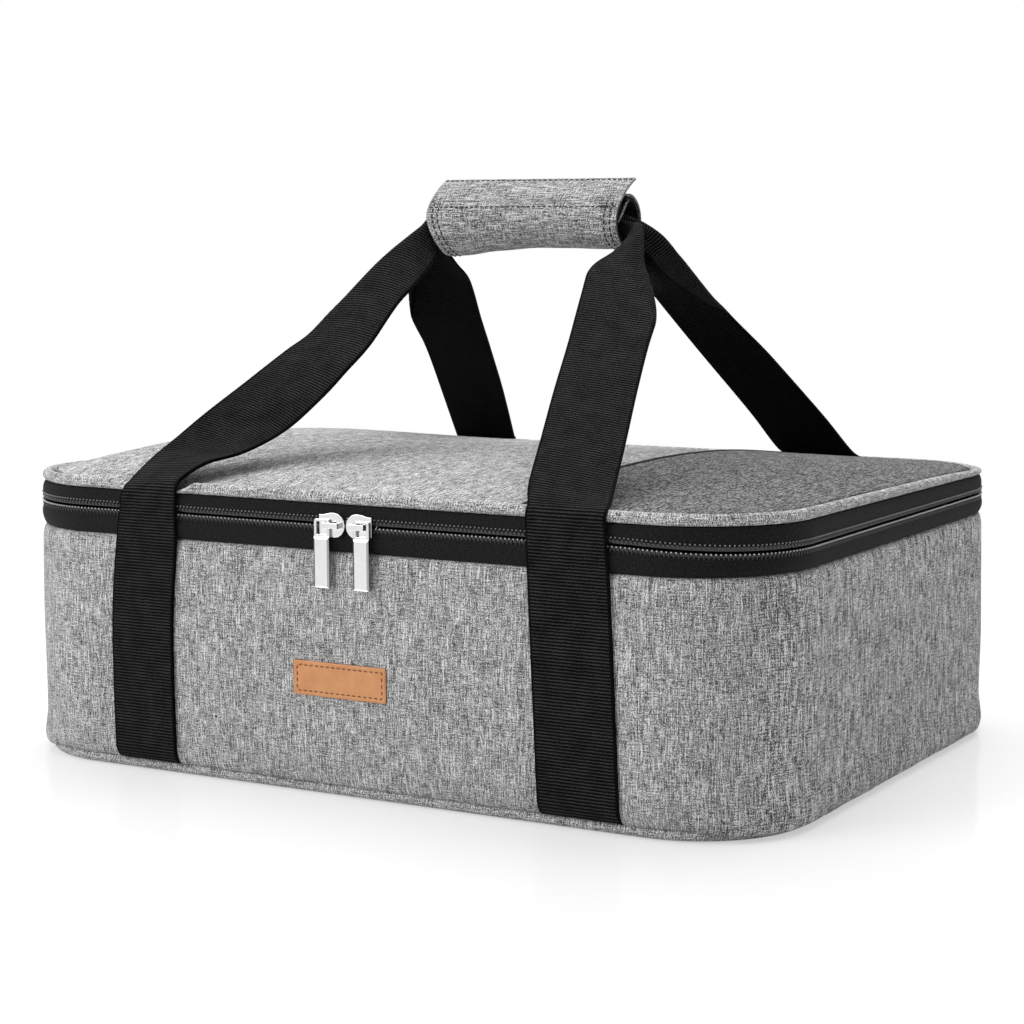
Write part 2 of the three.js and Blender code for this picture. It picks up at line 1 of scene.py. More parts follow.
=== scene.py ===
import math

import bmesh
import bpy
import numpy as np
from mathutils import Matrix, Vector


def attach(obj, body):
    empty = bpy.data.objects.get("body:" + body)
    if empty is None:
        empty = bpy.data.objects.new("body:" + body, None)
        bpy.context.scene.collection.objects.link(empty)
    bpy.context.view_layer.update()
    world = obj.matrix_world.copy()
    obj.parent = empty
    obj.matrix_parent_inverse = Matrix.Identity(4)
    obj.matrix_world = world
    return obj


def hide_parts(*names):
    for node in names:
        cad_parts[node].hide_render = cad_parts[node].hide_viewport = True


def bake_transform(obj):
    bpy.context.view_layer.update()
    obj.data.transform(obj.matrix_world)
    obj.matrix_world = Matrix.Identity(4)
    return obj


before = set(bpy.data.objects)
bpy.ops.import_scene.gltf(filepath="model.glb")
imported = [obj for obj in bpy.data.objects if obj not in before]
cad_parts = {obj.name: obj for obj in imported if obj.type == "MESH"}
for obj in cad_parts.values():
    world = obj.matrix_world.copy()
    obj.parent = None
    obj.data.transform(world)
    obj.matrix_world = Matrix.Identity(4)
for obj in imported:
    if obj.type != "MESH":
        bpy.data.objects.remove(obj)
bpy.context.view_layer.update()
mm = 0.001
scene = bpy.context.scene
scene.view_settings.view_transform = "Standard"
print("frame:", len(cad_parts), "solids")


def placed(name, data):
    made = bpy.data.objects.new(name, data)
    scene.collection.objects.link(made)
    return made


# Camera, from a fit of the body's edges in the photograph
shot = dict(place=(0.598685, -1.038230, 0.263698), turn=30.098, tilt=7.131, roll=-0.269, lens=84.43, sensor=36)


def placeCamera():
    turn, tilt, roll = (math.radians(shot[key]) for key in ("turn", "tilt", "roll"))
    back = Vector((math.sin(turn) * math.cos(tilt), -math.cos(turn) * math.cos(tilt), math.sin(tilt)))
    level = Vector((math.cos(turn), math.sin(turn), 0))
    upright = back.cross(level)
    right = level * math.cos(roll) + upright * math.sin(roll)
    up = upright * math.cos(roll) - level * math.sin(roll)
    lens = bpy.data.cameras.new("shot")
    lens.lens, lens.sensor_width = shot["lens"], shot["sensor"]
    camera = placed("shot", lens)
    camera.matrix_world = Matrix((right, up, back)).transposed().to_4x4()
    camera.location = shot["place"]
    scene.camera = camera


# Node wiring: an expression on wires adds its Math nodes
class Wire:
    def __init__(self, sheet, socket):
        self.sheet, self.socket = sheet, socket

    def twin(self, output):
        return Wire(self.sheet, self.socket.node.outputs[output])

    def maths(self, operation, *others):
        return self.sheet.maths(operation, self, *others)

    def __add__(self, other):
        return self.maths("ADD", other)

    def __sub__(self, other):
        return self.maths("SUBTRACT", other)

    def __rsub__(self, other):
        return self.sheet.maths("SUBTRACT", other, self)

    def __mul__(self, other):
        return self.maths("MULTIPLY", other)

    def __truediv__(self, other):
        return self.maths("DIVIDE", other)

    __radd__, __rmul__ = __add__, __mul__


class Sheet:
    def __init__(self, tree):
        self.tree = tree

    def node(self, kind, inputs=None, output=0, **settings):
        made = self.tree.nodes.new(kind)
        for key, value in settings.items():
            setattr(made, key, value)
        for key, value in (inputs or {}).items():
            self.join(value, made.inputs[key])
        return Wire(self, made.outputs[output])

    def join(self, value, socket):
        if isinstance(value, Wire):
            self.tree.links.new(value.socket, socket)
        else:
            socket.default_value = value

    def maths(self, operation, *values):
        return self.node("ShaderNodeMath", dict(enumerate(values)), operation=operation)

    def vector(self, *parts):
        return self.node("ShaderNodeCombineXYZ", dict(enumerate(parts)))

    def axes(self, place):
        x = self.node("ShaderNodeSeparateXYZ", {0: place})
        return x, x.twin(1)

    def solidPlace(self, kind="Object"):
        return self.node("ShaderNodeTexCoord", output=kind)

    def mixed(self, share, first, second, blend="MIX"):
        inputs = {0: share, 6: first, 7: second}
        return self.node("ShaderNodeMix", inputs, 2, data_type="RGBA", blend_type=blend)

    def noise(self, place, size, detail=2, rough=0.5, dimensions="3D"):
        inputs = {"Vector": place, "Scale": 1 / size, "Detail": detail, "Roughness": rough}
        return self.node("ShaderNodeTexNoise", inputs, noise_dimensions=dimensions)

    def ramp(self, value, *stops):
        made = self.node("ShaderNodeValToRGB", {0: value})
        elements = made.socket.node.color_ramp.elements
        while len(elements) < len(stops):
            elements.new(1)
        for element, (spot, tone) in zip(elements, stops):
            element.position, element.color = spot, grey(tone)
        return made

    def eased(self, value, low, high):
        inputs = {"Value": value, "From Min": low, "From Max": high}
        return self.node("ShaderNodeMapRange", inputs, interpolation_type="SMOOTHSTEP")

    def bump(self, height, depth, strength=1.0):
        return self.node("ShaderNodeBump", {"Height": height, "Distance": depth, "Strength": strength})


def grey(tone, share=1):
    channels = tone if isinstance(tone, tuple) else (tone,) * 3
    return (*(channel * share for channel in channels), 1)


class Finish(Sheet):
    def __init__(self, name, **constants):
        self.material = bpy.data.materials.new(name)
        self.material.use_nodes = True
        super().__init__(self.material.node_tree)
        self.feed(**constants)

    def feed(self, **values):
        shader = self.tree.nodes["Principled BSDF"]
        for key, value in values.items():
            self.join(value, shader.inputs[key.replace("_", " ")])
        return self.material

    def clothPlace(self):
        place = self.node("ShaderNodeUVMap", uv_map="cloth")
        return (place, *self.axes(place))

    def streak(self, along, across, alongSize, acrossSize, detail=1.0):
        return self.noise(self.vector(along / alongSize, across / acrossSize), 1, detail, 0.6, "2D")


# Heather cloth: upright and level yarns of mixed greys, woven over and under
heather = dict(
    grain=0.56 * mm, yarn=0.58 * mm, uprightLength=7 * mm, levelLength=5.5 * mm, slubWidth=0.6 * mm,
    slubLength=14 * mm, fleckLength=3.5 * mm, columnWidth=3.2 * mm, columnLength=40 * mm, weave=0.5 * mm,
    blotch=13 * mm, rough=0.93, relief=0.2 * mm, endStart=0.188, endFull=0.204, endYarn=1.9 * mm,
    endLength=16 * mm, seamX=0.149, seamY=0.101, seamRadius=0.0493, seamReach=2.6 * mm, seamShade=0.25,
)
heatherTones = dict(
    shell=((0.08, 0.05), (0.3, 0.17), (0.5, 0.345), (0.7, 0.56), (0.95, 0.88)),
    pocket=((0.08, 0.025), (0.3, 0.065), (0.5, 0.125), (0.7, 0.2), (0.95, 0.38)),
)


def heatherFinish(name, tones, level=1.0, size=1.0, contrast=1.0, endContrast=0.0, paintedSeamShade=False):
    finish = Finish(name, Roughness=heather["rough"], Specular_IOR_Level=0.2, Sheen_Weight=0.06)
    place, along, up = finish.clothPlace()
    grain = finish.noise(place, heather["grain"] * size, 1, 0.5, "2D") - 0.5
    upright = finish.streak(along, up, heather["yarn"] * size, heather["uprightLength"]) - 0.5
    flat = finish.streak(along, up, heather["levelLength"], heather["yarn"] * size) - 0.5
    column = finish.streak(along, up, heather["columnWidth"], heather["columnLength"]) - 0.5
    blotch = finish.noise(place, heather["blotch"], 3, 0.6, "2D") - 0.5
    slub = finish.streak(along, up, heather["slubWidth"], heather["slubLength"])
    slub = finish.ramp(slub, (0.61, 0.0), (0.68, 1.0))
    fleck = finish.streak(along + 0.3, up, heather["slubWidth"], heather["fleckLength"])
    fleck = finish.ramp(fleck, (0.3, 1.0), (0.38, 0.0))
    mottle = grain * 1.35 + upright * 0.75 + flat * 0.7 + column * 0.2 + blotch * 0.2 + slub * 0.3 - fleck * 0.3
    far, deep = (axis.maths("ABSOLUTE") for axis in finish.axes(finish.solidPlace()))
    atEnd = finish.eased(far, heather["endStart"], heather["endFull"])
    tone = mottle * (atEnd * endContrast + contrast) + 0.5
    # At the ends the yarn is coarser and the cloth is painted a little darker: painted shade
    if endContrast:
        broad = finish.streak(along, up, heather["endYarn"], heather["endLength"]) - 0.5
        tone = tone + atEnd * (broad * 0.8 - 0.03)
    color = finish.ramp(tone, *((stop, value * level) for stop, value in tones))
    # Painted shade: the cloth darkens in a thin line along the rim seam, next to the piping
    if paintedSeamShade:
        outX = (far - heather["seamX"]).maths("MAXIMUM", 0.0)
        outY = (deep - heather["seamY"]).maths("MAXIMUM", 0.0)
        inside = (heather["seamRadius"] - (outX * outX + outY * outY).maths("SQRT")) / heather["seamReach"]
        shade = finish.ramp(inside, (0.35, heather["seamShade"]), (1.0, 1.0))
        color = finish.mixed(1.0, color, shade, "MULTIPLY")
    turn = math.tau / (2 * heather["weave"])
    crossing = (along * turn).maths("SINE") * (up * turn).maths("SINE")
    height = crossing * 0.4 + grain * 1.3 + upright * 0.9 + flat * 0.6 + slub * 0.5
    return finish.feed(Base_Color=color, Normal=finish.bump(height, heather["relief"]))


# Webbing: black ribs across the strap, with painted highlight on the crests and painted shade in the gaps. The map's
# second lap is the strap's inner face.
webbing = dict(
    rib=1.45 * mm, bead=1.1 * mm, gapShadeTone=0.0006, tone=0.0052, litTone=0.052, rough=0.88, relief=0.5 * mm,
    fibre=0.45 * mm, cloud=9 * mm, waver=0.5 * mm, waverLength=6 * mm, waverWidth=3 * mm,
    width=38.4 * mm, lap=39.9 * mm, innerStart=39.2 * mm, selvage=1.3 * mm, paintedInnerShade=0.36,
)


def webbingFinish(name):
    finish = Finish(name, Roughness=webbing["rough"], Specular_IOR_Level=0.05, Sheen_Weight=0.01)
    place, along, across = finish.clothPlace()
    waver = finish.streak(along, across, webbing["waverLength"], webbing["waverWidth"], 2) - 0.5
    turn = (along + waver * webbing["waver"]) * (math.tau / webbing["rib"])
    rib = turn.maths("SINE") * 0.5 + 0.5
    bead = (across * (math.tau / webbing["bead"]) + turn * 0.5).maths("SINE") * 0.5 + 0.5
    fibre = finish.streak(along, across, webbing["fibre"], webbing["fibre"] * 2)
    cloud = finish.noise(place, webbing["cloud"], 2, 0.5, "2D")
    edge = across.maths("MODULO", webbing["lap"])
    inner = finish.maths("MINIMUM", edge, webbing["width"] - edge) / webbing["selvage"]
    woven = finish.ramp(inner, (0.3, 0.0), (1.0, 1.0))
    tone = rib * (bead * 0.22 + 0.46) * woven + fibre * 0.5 + (cloud - 0.5) * 0.3
    # The strap's inner face is painted darker: painted shade
    tone = tone - across.maths("GREATER_THAN", webbing["innerStart"]) * webbing["paintedInnerShade"]
    color = finish.ramp(tone, (0.2, webbing["gapShadeTone"]), (0.52, webbing["tone"]), (0.9, webbing["litTone"]))
    height = rib * (bead * 0.3 + 0.8) * woven + fibre * 0.35
    return finish.feed(Base_Color=color, Normal=finish.bump(height, webbing["relief"]))


# Zip band: fine black twill
twill = dict(pitch=0.8 * mm, speck=0.85 * mm, waver=1.2 * mm, waverSize=2.2 * mm, rough=0.8, relief=0.14 * mm)


def twillFinish(name, tone):
    finish = Finish(name, Roughness=twill["rough"], Specular_IOR_Level=0.12, Sheen_Weight=0.02)
    place, along, across = finish.clothPlace()
    waver = finish.noise(place, twill["waverSize"], 2, 0.6, "2D")
    slope = along + across + waver * twill["waver"]
    line = (slope * (math.tau / twill["pitch"])).maths("SINE") * 0.5 + 0.5
    speck = finish.noise(place, twill["speck"], 2, 0.6, "2D")
    color = finish.ramp(line * 0.3 + speck * 0.7, (0.25, tone * 0.15), (0.5, tone * 0.9), (0.75, tone * 4.5))
    return finish.feed(Base_Color=color, Normal=finish.bump(line + speck * 0.8, twill["relief"]))


# Tan leather label, darker on its cut edge
leather = dict(
    tone=(0.635, 0.295, 0.125), dark=(0.575, 0.25, 0.10), edge=(0.16, 0.05, 0.015), face=-157.6, rough=0.43,
    grain=0.9 * mm, pore=0.4 * mm, cloud=8 * mm, relief=0.12 * mm,
)


def leatherFinish():
    finish = Finish("tanLeather", Specular_IOR_Level=0.4)
    place = finish.solidPlace()
    pebble = finish.node("ShaderNodeTexVoronoi", {"Vector": place, "Scale": 1 / leather["grain"]})
    cloud = finish.noise(place, leather["cloud"], 3)
    face = finish.mixed(finish.ramp(cloud, (0.35, 0.0), (0.7, 1.0)), grey(leather["dark"]), grey(leather["tone"]))
    deep = finish.axes(place)[1] / mm - leather["face"]
    color = finish.mixed(finish.ramp(deep * 4.0, (0.2, 0.0), (0.8, 1.0)), face, grey(leather["edge"]))
    height = finish.noise(place, leather["pore"], 2) * 0.5 + pebble
    normal = finish.bump(height, leather["relief"])
    return finish.feed(Base_Color=color, Roughness=cloud * 0.15 + leather["rough"], Normal=normal)


# Bright nickel of the sliders and pulls
nickel = dict(
    dull=(0.70, 0.70, 0.71), tone=(0.82, 0.82, 0.83), rough=0.13, scuff=3 * mm, dent=1.2 * mm, relief=0.01 * mm,
)


def nickelFinish(name, level=1.0):
    finish = Finish(name, Metallic=1.0)
    place = finish.solidPlace()
    scuff = finish.noise(place, nickel["scuff"], 4, 0.65)
    color = finish.mixed(scuff, grey(nickel["dull"], level), grey(nickel["tone"], level))
    normal = finish.bump(finish.noise(place, nickel["dent"], 2), nickel["relief"], 0.4)
    return finish.feed(Base_Color=color, Roughness=scuff * 0.12 + nickel["rough"], Normal=normal)


# Plastic and foam
def plasticFinish(name, tone, rough, speck=0.8 * mm, relief=0.02 * mm):
    finish = Finish(name)
    cloud = finish.noise(finish.solidPlace(), speck, 3)
    color = finish.mixed(cloud, grey(tone, 0.85), grey(tone, 1.15))
    return finish.feed(Base_Color=color, Roughness=cloud * 0.2 + (rough - 0.1), Normal=finish.bump(cloud, relief))


# Liner film: wipe-clean, with soft creases
film = dict(
    low=(0.42, 0.44, 0.46), high=(0.56, 0.58, 0.60), metallic=0.35, rough=0.26, crease=24 * mm, grain=1.1 * mm,
    relief=0.5 * mm,
)


def filmFinish():
    finish = Finish("linerFilm", Metallic=film["metallic"])
    place = finish.solidPlace()
    crease = finish.noise(place, film["crease"], 4, 0.6)
    grain = finish.noise(place, film["grain"], 2)
    color = finish.mixed(crease, grey(film["low"]), grey(film["high"]))
    normal = finish.bump(crease * 6.0 + grain * 0.25, film["relief"], 0.6)
    return finish.feed(Base_Color=color, Roughness=grain * 0.2 + film["rough"], Normal=normal)


# Sewing thread
sewing = dict(rough=0.7, sheen=0.04, twist=0.3 * mm, relief=0.1 * mm)


def threadFinish(name, tone):
    finish = Finish(name, Roughness=sewing["rough"], Sheen_Weight=sewing["sheen"])
    twist = finish.noise(finish.solidPlace(), sewing["twist"], 2)
    color = finish.mixed(twist, grey(tone, 0.7), grey(tone, 1.25))
    return finish.feed(Base_Color=color, Normal=finish.bump(twist, sewing["relief"]))


shellCloth = heatherFinish("heatherShell", heatherTones["shell"], 1.02, 1.0, 1.05, 0.9)
gripCloth = heatherFinish("heatherGrip", heatherTones["shell"], 0.86, 1.0, 1.3)
lidCloth = heatherFinish("heatherLid", heatherTones["shell"], 1.05, 1.3, 1.25, paintedSeamShade=True)
pipingCloth = heatherFinish("heatherPiping", heatherTones["shell"], 1.1, 1.0, 1.15)
pocketCloth = heatherFinish("heatherPocket", heatherTones["pocket"], 0.82, 2.1, 2.7, paintedSeamShade=True)
strapCloth = webbingFinish("ribbedWebbing")
bandCloth = twillFinish("blackTwill", 0.0056)
bindingCloth = twillFinish("blackBinding", 0.011)
liningCloth = twillFinish("gripLining", 0.007)
tuckCloth = twillFinish("gripTuckCloth", 0.25)
labelLeather = leatherFinish()
brightMetal = nickelFinish("brightNickel")
# Copies of the nickel: a painted highlight for bevels, painted shade for sides, a painted dark reflection for the
# pulls' left sides
bevelHighlightMetal = nickelFinish("bevelPaintedHighlightNickel", 1.18)
sideShadeMetal = nickelFinish("sidePaintedShadeNickel", 0.5)
darkReflectionMetal = nickelFinish("paintedDarkReflectionNickel", 0.12)
linerFilm = filmFinish()
coilPlastic = plasticFinish("zipCoil", (0.014, 0.014, 0.0145), 0.34)
# The coil is one black plastic; its lighter copies are painted sheen on the upper rods and painted glints on the
# crests
coilUpperRodSheen = plasticFinish("zipCoilPaintedRodSheen", (0.06, 0.06, 0.062), 0.28)
coilUpperCrestHighlight = plasticFinish("zipCoilPaintedUpperHighlight", (0.22, 0.22, 0.225), 0.3)
coilLowerCrestGlint = plasticFinish("zipCoilPaintedCrestGlint", (0.57, 0.57, 0.58), 0.3)
foamWhite = plasticFinish("whiteFoam", (0.72, 0.72, 0.69), 0.9, 1.5 * mm, 0.2 * mm)
boardPlastic = plasticFinish("baseBoard", (0.04, 0.04, 0.042), 0.5, 2 * mm, 0.05 * mm)
fuzzyBlack = plasticFinish("touchFastener", (0.012, 0.012, 0.013), 0.9, 0.4 * mm, 0.4 * mm)
brownThread = threadFinish("brownThread", (0.14, 0.045, 0.015))
greyThread = threadFinish("greyThread", (0.016, 0.016, 0.017))
print("finishes:", len(bpy.data.materials))


# Mesh making. Sizes are millimetres until the mesh is written.
def closed(rows):
    return np.concatenate((rows, rows[:, :1]), axis=1)


def runLengths(rows):
    steps = np.linalg.norm(np.diff(rows, axis=0), axis=2).mean(1)
    return np.concatenate(([0], np.cumsum(steps)))


def grid(along, across):
    return np.stack(np.meshgrid(along, across, indexing="ij"), axis=2)


def skin(name, rows, finish, ring=False, tube=False, places=None, turned=False):
    rows = np.asarray(rows, float)
    count, width = rows.shape[:2]
    lapRows = np.concatenate((rows, rows[:1])) if ring else rows
    lapAll = closed(lapRows) if tube else lapRows
    if places is None:
        places = grid(runLengths(lapAll), runLengths(lapAll.transpose(1, 0, 2)))
        places = places[:, :, ::-1] if turned else places
    down, over = grid(np.arange(lapAll.shape[0] - 1), np.arange(lapAll.shape[1] - 1)).reshape(-1, 2).T
    corners = [(down, over), (down, over + 1), (down + 1, over + 1), (down + 1, over)]
    faces = np.stack([(r % count) * width + c % width for r, c in corners], axis=1)
    spots = np.stack([places[r, c] for r, c in corners], axis=1)
    if tube and not ring:
        ends = []
        for row in (0, count - 1):
            for c in range(width // 2 - 1):
                quad = [c, c + 1, width - 2 - c, width - 1 - c]
                quad = quad[::-1] if row == 0 else quad
                ends.append([[row * width + k for k in quad], [places[row, k] for k in quad]])
        faces = np.concatenate((faces, np.array([end[0] for end in ends])))
        spots = np.concatenate((spots, np.array([end[1] for end in ends])))
    return writeMesh(name, rows.reshape(-1, 3), faces, spots, finish)


meshing = dict(weld=1e-7, sliver=1e-8, sharp=50)


def writeMesh(name, points, faces, spots, finish):
    mesh = bpy.data.meshes.new(name)
    mesh.from_pydata((points * mm).tolist(), [], faces.tolist())
    mesh.uv_layers.new(name="cloth").data.foreach_set("uv", (spots * mm).astype(np.float32).ravel())
    work = bmesh.new()
    work.from_mesh(mesh)
    bmesh.ops.remove_doubles(work, verts=work.verts, dist=meshing["weld"])
    bmesh.ops.dissolve_degenerate(work, edges=work.edges, dist=meshing["sliver"])
    if work.calc_volume(signed=True) < 0:
        bmesh.ops.reverse_faces(work, faces=work.faces)
    work.to_mesh(mesh)
    work.free()
    mesh.shade_smooth()
    mesh.set_sharp_from_angle(angle=math.radians(meshing["sharp"]))
    mesh.materials.append(finish)
    return placed(name, mesh)


def slab(name, top, bottom, finish, **options):
    return skin(name, np.concatenate((top, bottom[:, ::-1]), axis=1), finish, tube=True, **options)


def finalMesh(piece):
    return bpy.data.meshes.new_from_object(piece.evaluated_get(bpy.context.evaluated_depsgraph_get()))


def fit(piece, rider, slotName, *nodes):
    if rider:  # a piece baked in place has no rider
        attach(piece, rider)
    if nodes:
        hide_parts(*nodes)


def smooth(value, low, high):
    share = np.clip((np.asarray(value, float) - low) / (high - low), 0, 1)
    return share * share * (3 - 2 * share)


def ripple(x, y, size, seed, waves=7):
    total = 0
    draw = np.random.default_rng(seed)
    turns, phases = draw.uniform(0, math.tau, waves), draw.uniform(0, math.tau, waves)
    for turn, phase, stretch in zip(turns, phases, draw.uniform(0.6, 1.8, waves)):
        total = total + np.sin((x * math.cos(turn) + y * math.sin(turn)) * math.tau / (size * stretch) + phase)
    return total / waves


# Plan of the body
body = dict(
    length=408, width=312, corner=55, wallTop=112.7, foot=5.6, footRoll=7.5, footTuck=4.2, topRoll=7, topTuck=2,
    chain=125, bandTop=134.1, hingeHalf=140, settle=4, lidPiping=5.4, step=5, cornerSteps=26,
)
halfLength, halfWidth = body["length"] / 2, body["width"] / 2
bandTop, cordSize = body["bandTop"], body["lidPiping"]
quarters = ((1, 1, 0), (-1, 1, 90), (-1, -1, 180), (1, -1, 270))


def rimRun(whole):
    hingeHalf, corner, steps = body["hingeHalf"], body["corner"], body["cornerSteps"]
    spots = [(-hingeHalf, halfWidth, 90)]
    for sideX, sideY, start in (*quarters[1:], (1, 1, 360)):
        for k in range(steps + 1):
            angle = start + 90 * k / steps
            turn = math.radians(angle)
            x = sideX * (halfLength - corner) + corner * math.cos(turn)
            spots.append((x, sideY * (halfWidth - corner) + corner * math.sin(turn), angle))
    spots.append((hingeHalf, halfWidth, 450))
    if whole:
        spots.append((-hingeHalf, halfWidth, 450))
    run = [spots[0]]
    for first, second in zip(spots, spots[1:]):
        reach = math.hypot(second[0] - first[0], second[1] - first[1])
        count = max(1, round(reach / body["step"])) if first[2] == second[2] else 1
        run += [tuple(np.add(first, np.subtract(second, first) * (k + 1) / count)) for k in range(count)]
    run = np.array(run[:-1] if whole else run)
    turn = np.radians(run[:, 2])
    return np.column_stack((run[:, 0], run[:, 1], np.cos(turn), np.sin(turn)))


# Each place on a run: x, y and the way out
lapRun, zipRun = rimRun(True), rimRun(False)


def rimDistance(run):
    steps = np.hypot(np.diff(run[:, 0]), np.diff(run[:, 1]))
    return np.concatenate(([0], np.cumsum(steps)))


# The lid sits lower towards the back
def settled(z, y):
    share = body["settle"] / (bandTop + cordSize - body["chain"])
    return body["chain"] + (z - body["chain"]) * (1 - share * (y + halfWidth) / body["width"])


def sweep(run, section, lid=False):
    section = np.asarray(section, float)
    outset, z = section[None, :, 0], section[None, :, 1]
    x = run[:, 0:1] + run[:, 2:3] * outset
    y = run[:, 1:2] + run[:, 3:4] * outset
    height = settled(z + 0 * x, y) if lid else z + 0 * x
    return np.stack((x, y, height), axis=2)


def lapTube(name, rows, finish):
    return skin(name, rows, finish, ring=True, tube=True)


def circle(middle, height, diameter, sides=14):
    turn = np.arange(sides) * math.tau / sides
    return np.column_stack((middle + diameter / 2 * np.cos(turn), height + diameter / 2 * np.sin(turn)))


def roundedBox(outer, inner, bottom, top, radius, steps):
    points = []
    for sideX, sideZ, start in quarters:
        middleX = outer - radius if sideX > 0 else inner + radius
        middleZ = top - radius if sideZ > 0 else bottom + radius
        for k in range(steps + 1):
            turn = math.radians(start + 90 * k / steps)
            points.append((middleX + radius * math.cos(turn), middleZ + radius * math.sin(turn)))
    return np.array(points)


# Straps: webbing sewn flat on the walls, then free as far as the grip
straps = dict(
    spacing=227, width=38.4, thick=1.5, gap=0.3, pivot=112.7, planeGap=0.4, ridge=266.9, mouthGap=7.4,
    creaseRadius=1.1, creaseTurn=170, creaseEase=0.02, rearSink=1.6, softDrop=1.35, bendLow=106, bendHigh=120,
)
legPlane = halfWidth + straps["gap"] + straps["thick"] / 2


def strapCover(x, margin):
    half = straps["width"] / 2
    return sum(1 - smooth(abs(x - side * straps["spacing"] / 2), half, half + margin) for side in (-1, 1))


# Wall: a puffed cloth skin, drawn in under the straps and puckered along its two seams
wall = dict(
    puff=1.0, wave=0.45, waveSize=46, pucker=0.36, puckerPitch=4.6, puckerReach=7, cloth=1, strapMargin=12,
    frontDrop=1.2, endDrop=4.0, endEase=2.6, endStart=165, endFull=195, lowTop=22, fill=0.85,
)


def tucked(depth, share):
    return -depth * (1 - math.sqrt(1 - share * share))


def wallLine():
    low, high = body["foot"] + body["footRoll"], body["wallTop"] - body["topRoll"]
    points = [(tucked(body["footTuck"], s), body["foot"] + body["footRoll"] * (1 - s)) for s in np.linspace(1, 0, 9)]
    points += [(0, low + (high - low) * k / 14) for k in range(1, 14)]
    points += [(tucked(body["topTuck"], k / 7), high + body["topRoll"] * (k / 7)) for k in range(8)]
    return np.array(points)


def makeWall():
    line = wallLine()
    rows = sweep(lapRun, np.concatenate((line, (line - (wall["cloth"], 0))[::-1])))
    run = rimDistance(lapRun)[:, None]
    z = rows[:, :, 2]
    share = np.clip((z - body["foot"]) / (body["wallTop"] - body["foot"]), 0, 1)
    onLong = (abs(lapRun[:, 3]) > 0.99)[:, None]
    held = strapCover(rows[:, :, 0], wall["strapMargin"]) * onLong
    arch = np.sin(math.pi * share)
    puff = wall["puff"] * arch ** 0.7 + wall["wave"] * ripple(run, z, wall["waveSize"], 3) * arch
    seam = np.exp(-(body["wallTop"] - z) / wall["puckerReach"]) + np.exp(-(z - body["foot"]) / wall["puckerReach"])
    phase = run / wall["puckerPitch"] + 0.4 * ripple(run, z * 0, 30, 5)
    pucker = wall["pucker"] * np.sin(math.tau * phase) * seam * np.sin(math.pi * np.clip(share, 0.04, 0.96)) ** 0.3
    atEnd = smooth(abs(lapRun[:, 0:1]), wall["endStart"], wall["endFull"])
    low = 1 - smooth(z, body["foot"], wall["lowTop"])
    shift = ((puff + pucker) * (1 - held) + wall["endEase"] * atEnd * low)[:, :, None]
    rows[:, :, 2] -= (wall["frontDrop"] + (wall["endDrop"] - wall["frontDrop"]) * atEnd) * low
    rows[:, :, :2] += shift * lapRun[:, None, 2:4]
    piece = lapTube("wallCloth", rows, shellCloth)
    fit(piece, "tub", "heather_cloth", "wall_fabric")


# Base: corded seam and flat panel
base = dict(piping=5, inset=2, lift=0.3, panelEdge=-7.3, panelThick=1.0)


def shrunk(ring, shares):
    return [ring * (share, share, 1) for share in shares]


def makeBase():
    radius = base["piping"] / 2
    section = circle(-(base["inset"] + radius), base["lift"] + radius, base["piping"])
    cord = lapTube("basePiping", sweep(lapRun, section), pipingCloth)
    under, over = (sweep(lapRun, [(base["panelEdge"], z)])[:, 0] for z in (0, base["panelThick"]))
    rows = closed(np.array(shrunk(under, np.linspace(0, 1, 9)) + shrunk(over, np.linspace(1, 0, 9))))
    panel = skin("basePanel", rows, shellCloth, places=rows[:, :, :2])
    fit(cord, "tub", "heather_cloth", "base_piping")
    fit(panel, "tub", "heather_cloth", "base_panel")


# Liner: a soft bag inside the foam, and the tape that closes its rim
liner = dict(
    front=-8.6, back=-9.4, bottom=9.9, floor=10.7, fillet=9, rimGap=0.3, wave=0.5, waveSize=60,
    bindingFront=-2.5, bindingTop=117, bindingLow=113, bindingRound=1.6,
)


def makeLiner():
    edge, top = liner["back"], body["wallTop"] - liner["rimGap"]
    floor, fillet = liner["floor"], liner["fillet"]
    section = [(liner["front"], liner["bottom"]), (liner["front"], top), (edge, top)]
    section += [(edge, z) for z in np.linspace(top - 8, floor + fillet, 10)]
    for turn in (math.radians(90 * k / 6) for k in range(1, 7)):
        section.append((edge - fillet * (1 - math.cos(turn)), floor + fillet * (1 - math.sin(turn))))
    rings = [sweep(lapRun, [spot])[:, 0] for spot in section]
    rings = shrunk(rings[0], np.linspace(0, 0.9, 4)) + rings + shrunk(rings[-1], np.linspace(0.92, 0, 12))
    rows = np.array(rings)
    wave = liner["wave"] * ripple(rows[:, :, 0] + rows[:, :, 2], rows[:, :, 1], liner["waveSize"], 9)
    onFloor = (rows[:, :, 2] < floor + 0.1) * (rows[:, :, 2] > liner["bottom"] + 0.1)
    rows[5:, :, 2] += (abs(wave) * onFloor)[5:]
    rows = closed(rows)
    places = grid(runLengths(rows), rimDistance(np.concatenate((lapRun, lapRun[:1]))))
    fit(skin("linerBag", rows, linerFilm, places=places), "tub", "liner_film", "liner")
    section = roundedBox(
        liner["bindingFront"], edge, liner["bindingLow"], liner["bindingTop"], liner["bindingRound"], 5,
    )
    fit(lapTube("rimBinding", sweep(lapRun, section), bindingCloth), "tub", "zip_band", "rim_binding")


# Zip: two tapes and two rows of coil. The teeth are laid by nodes.
zipper = dict(
    tapeFront=-1.2, tapeBack=-2.2, slot=1.4, coilHeight=2.5, coilBack=-0.9, bedThick=0.5, bedRound=0.2,
    low=113.0, high=133.8, pitch=2.07, depth=1.1, puffLower=1.7, puffUpper=1.3, endSag=2.2, sagStart=130, sagFull=200,
)
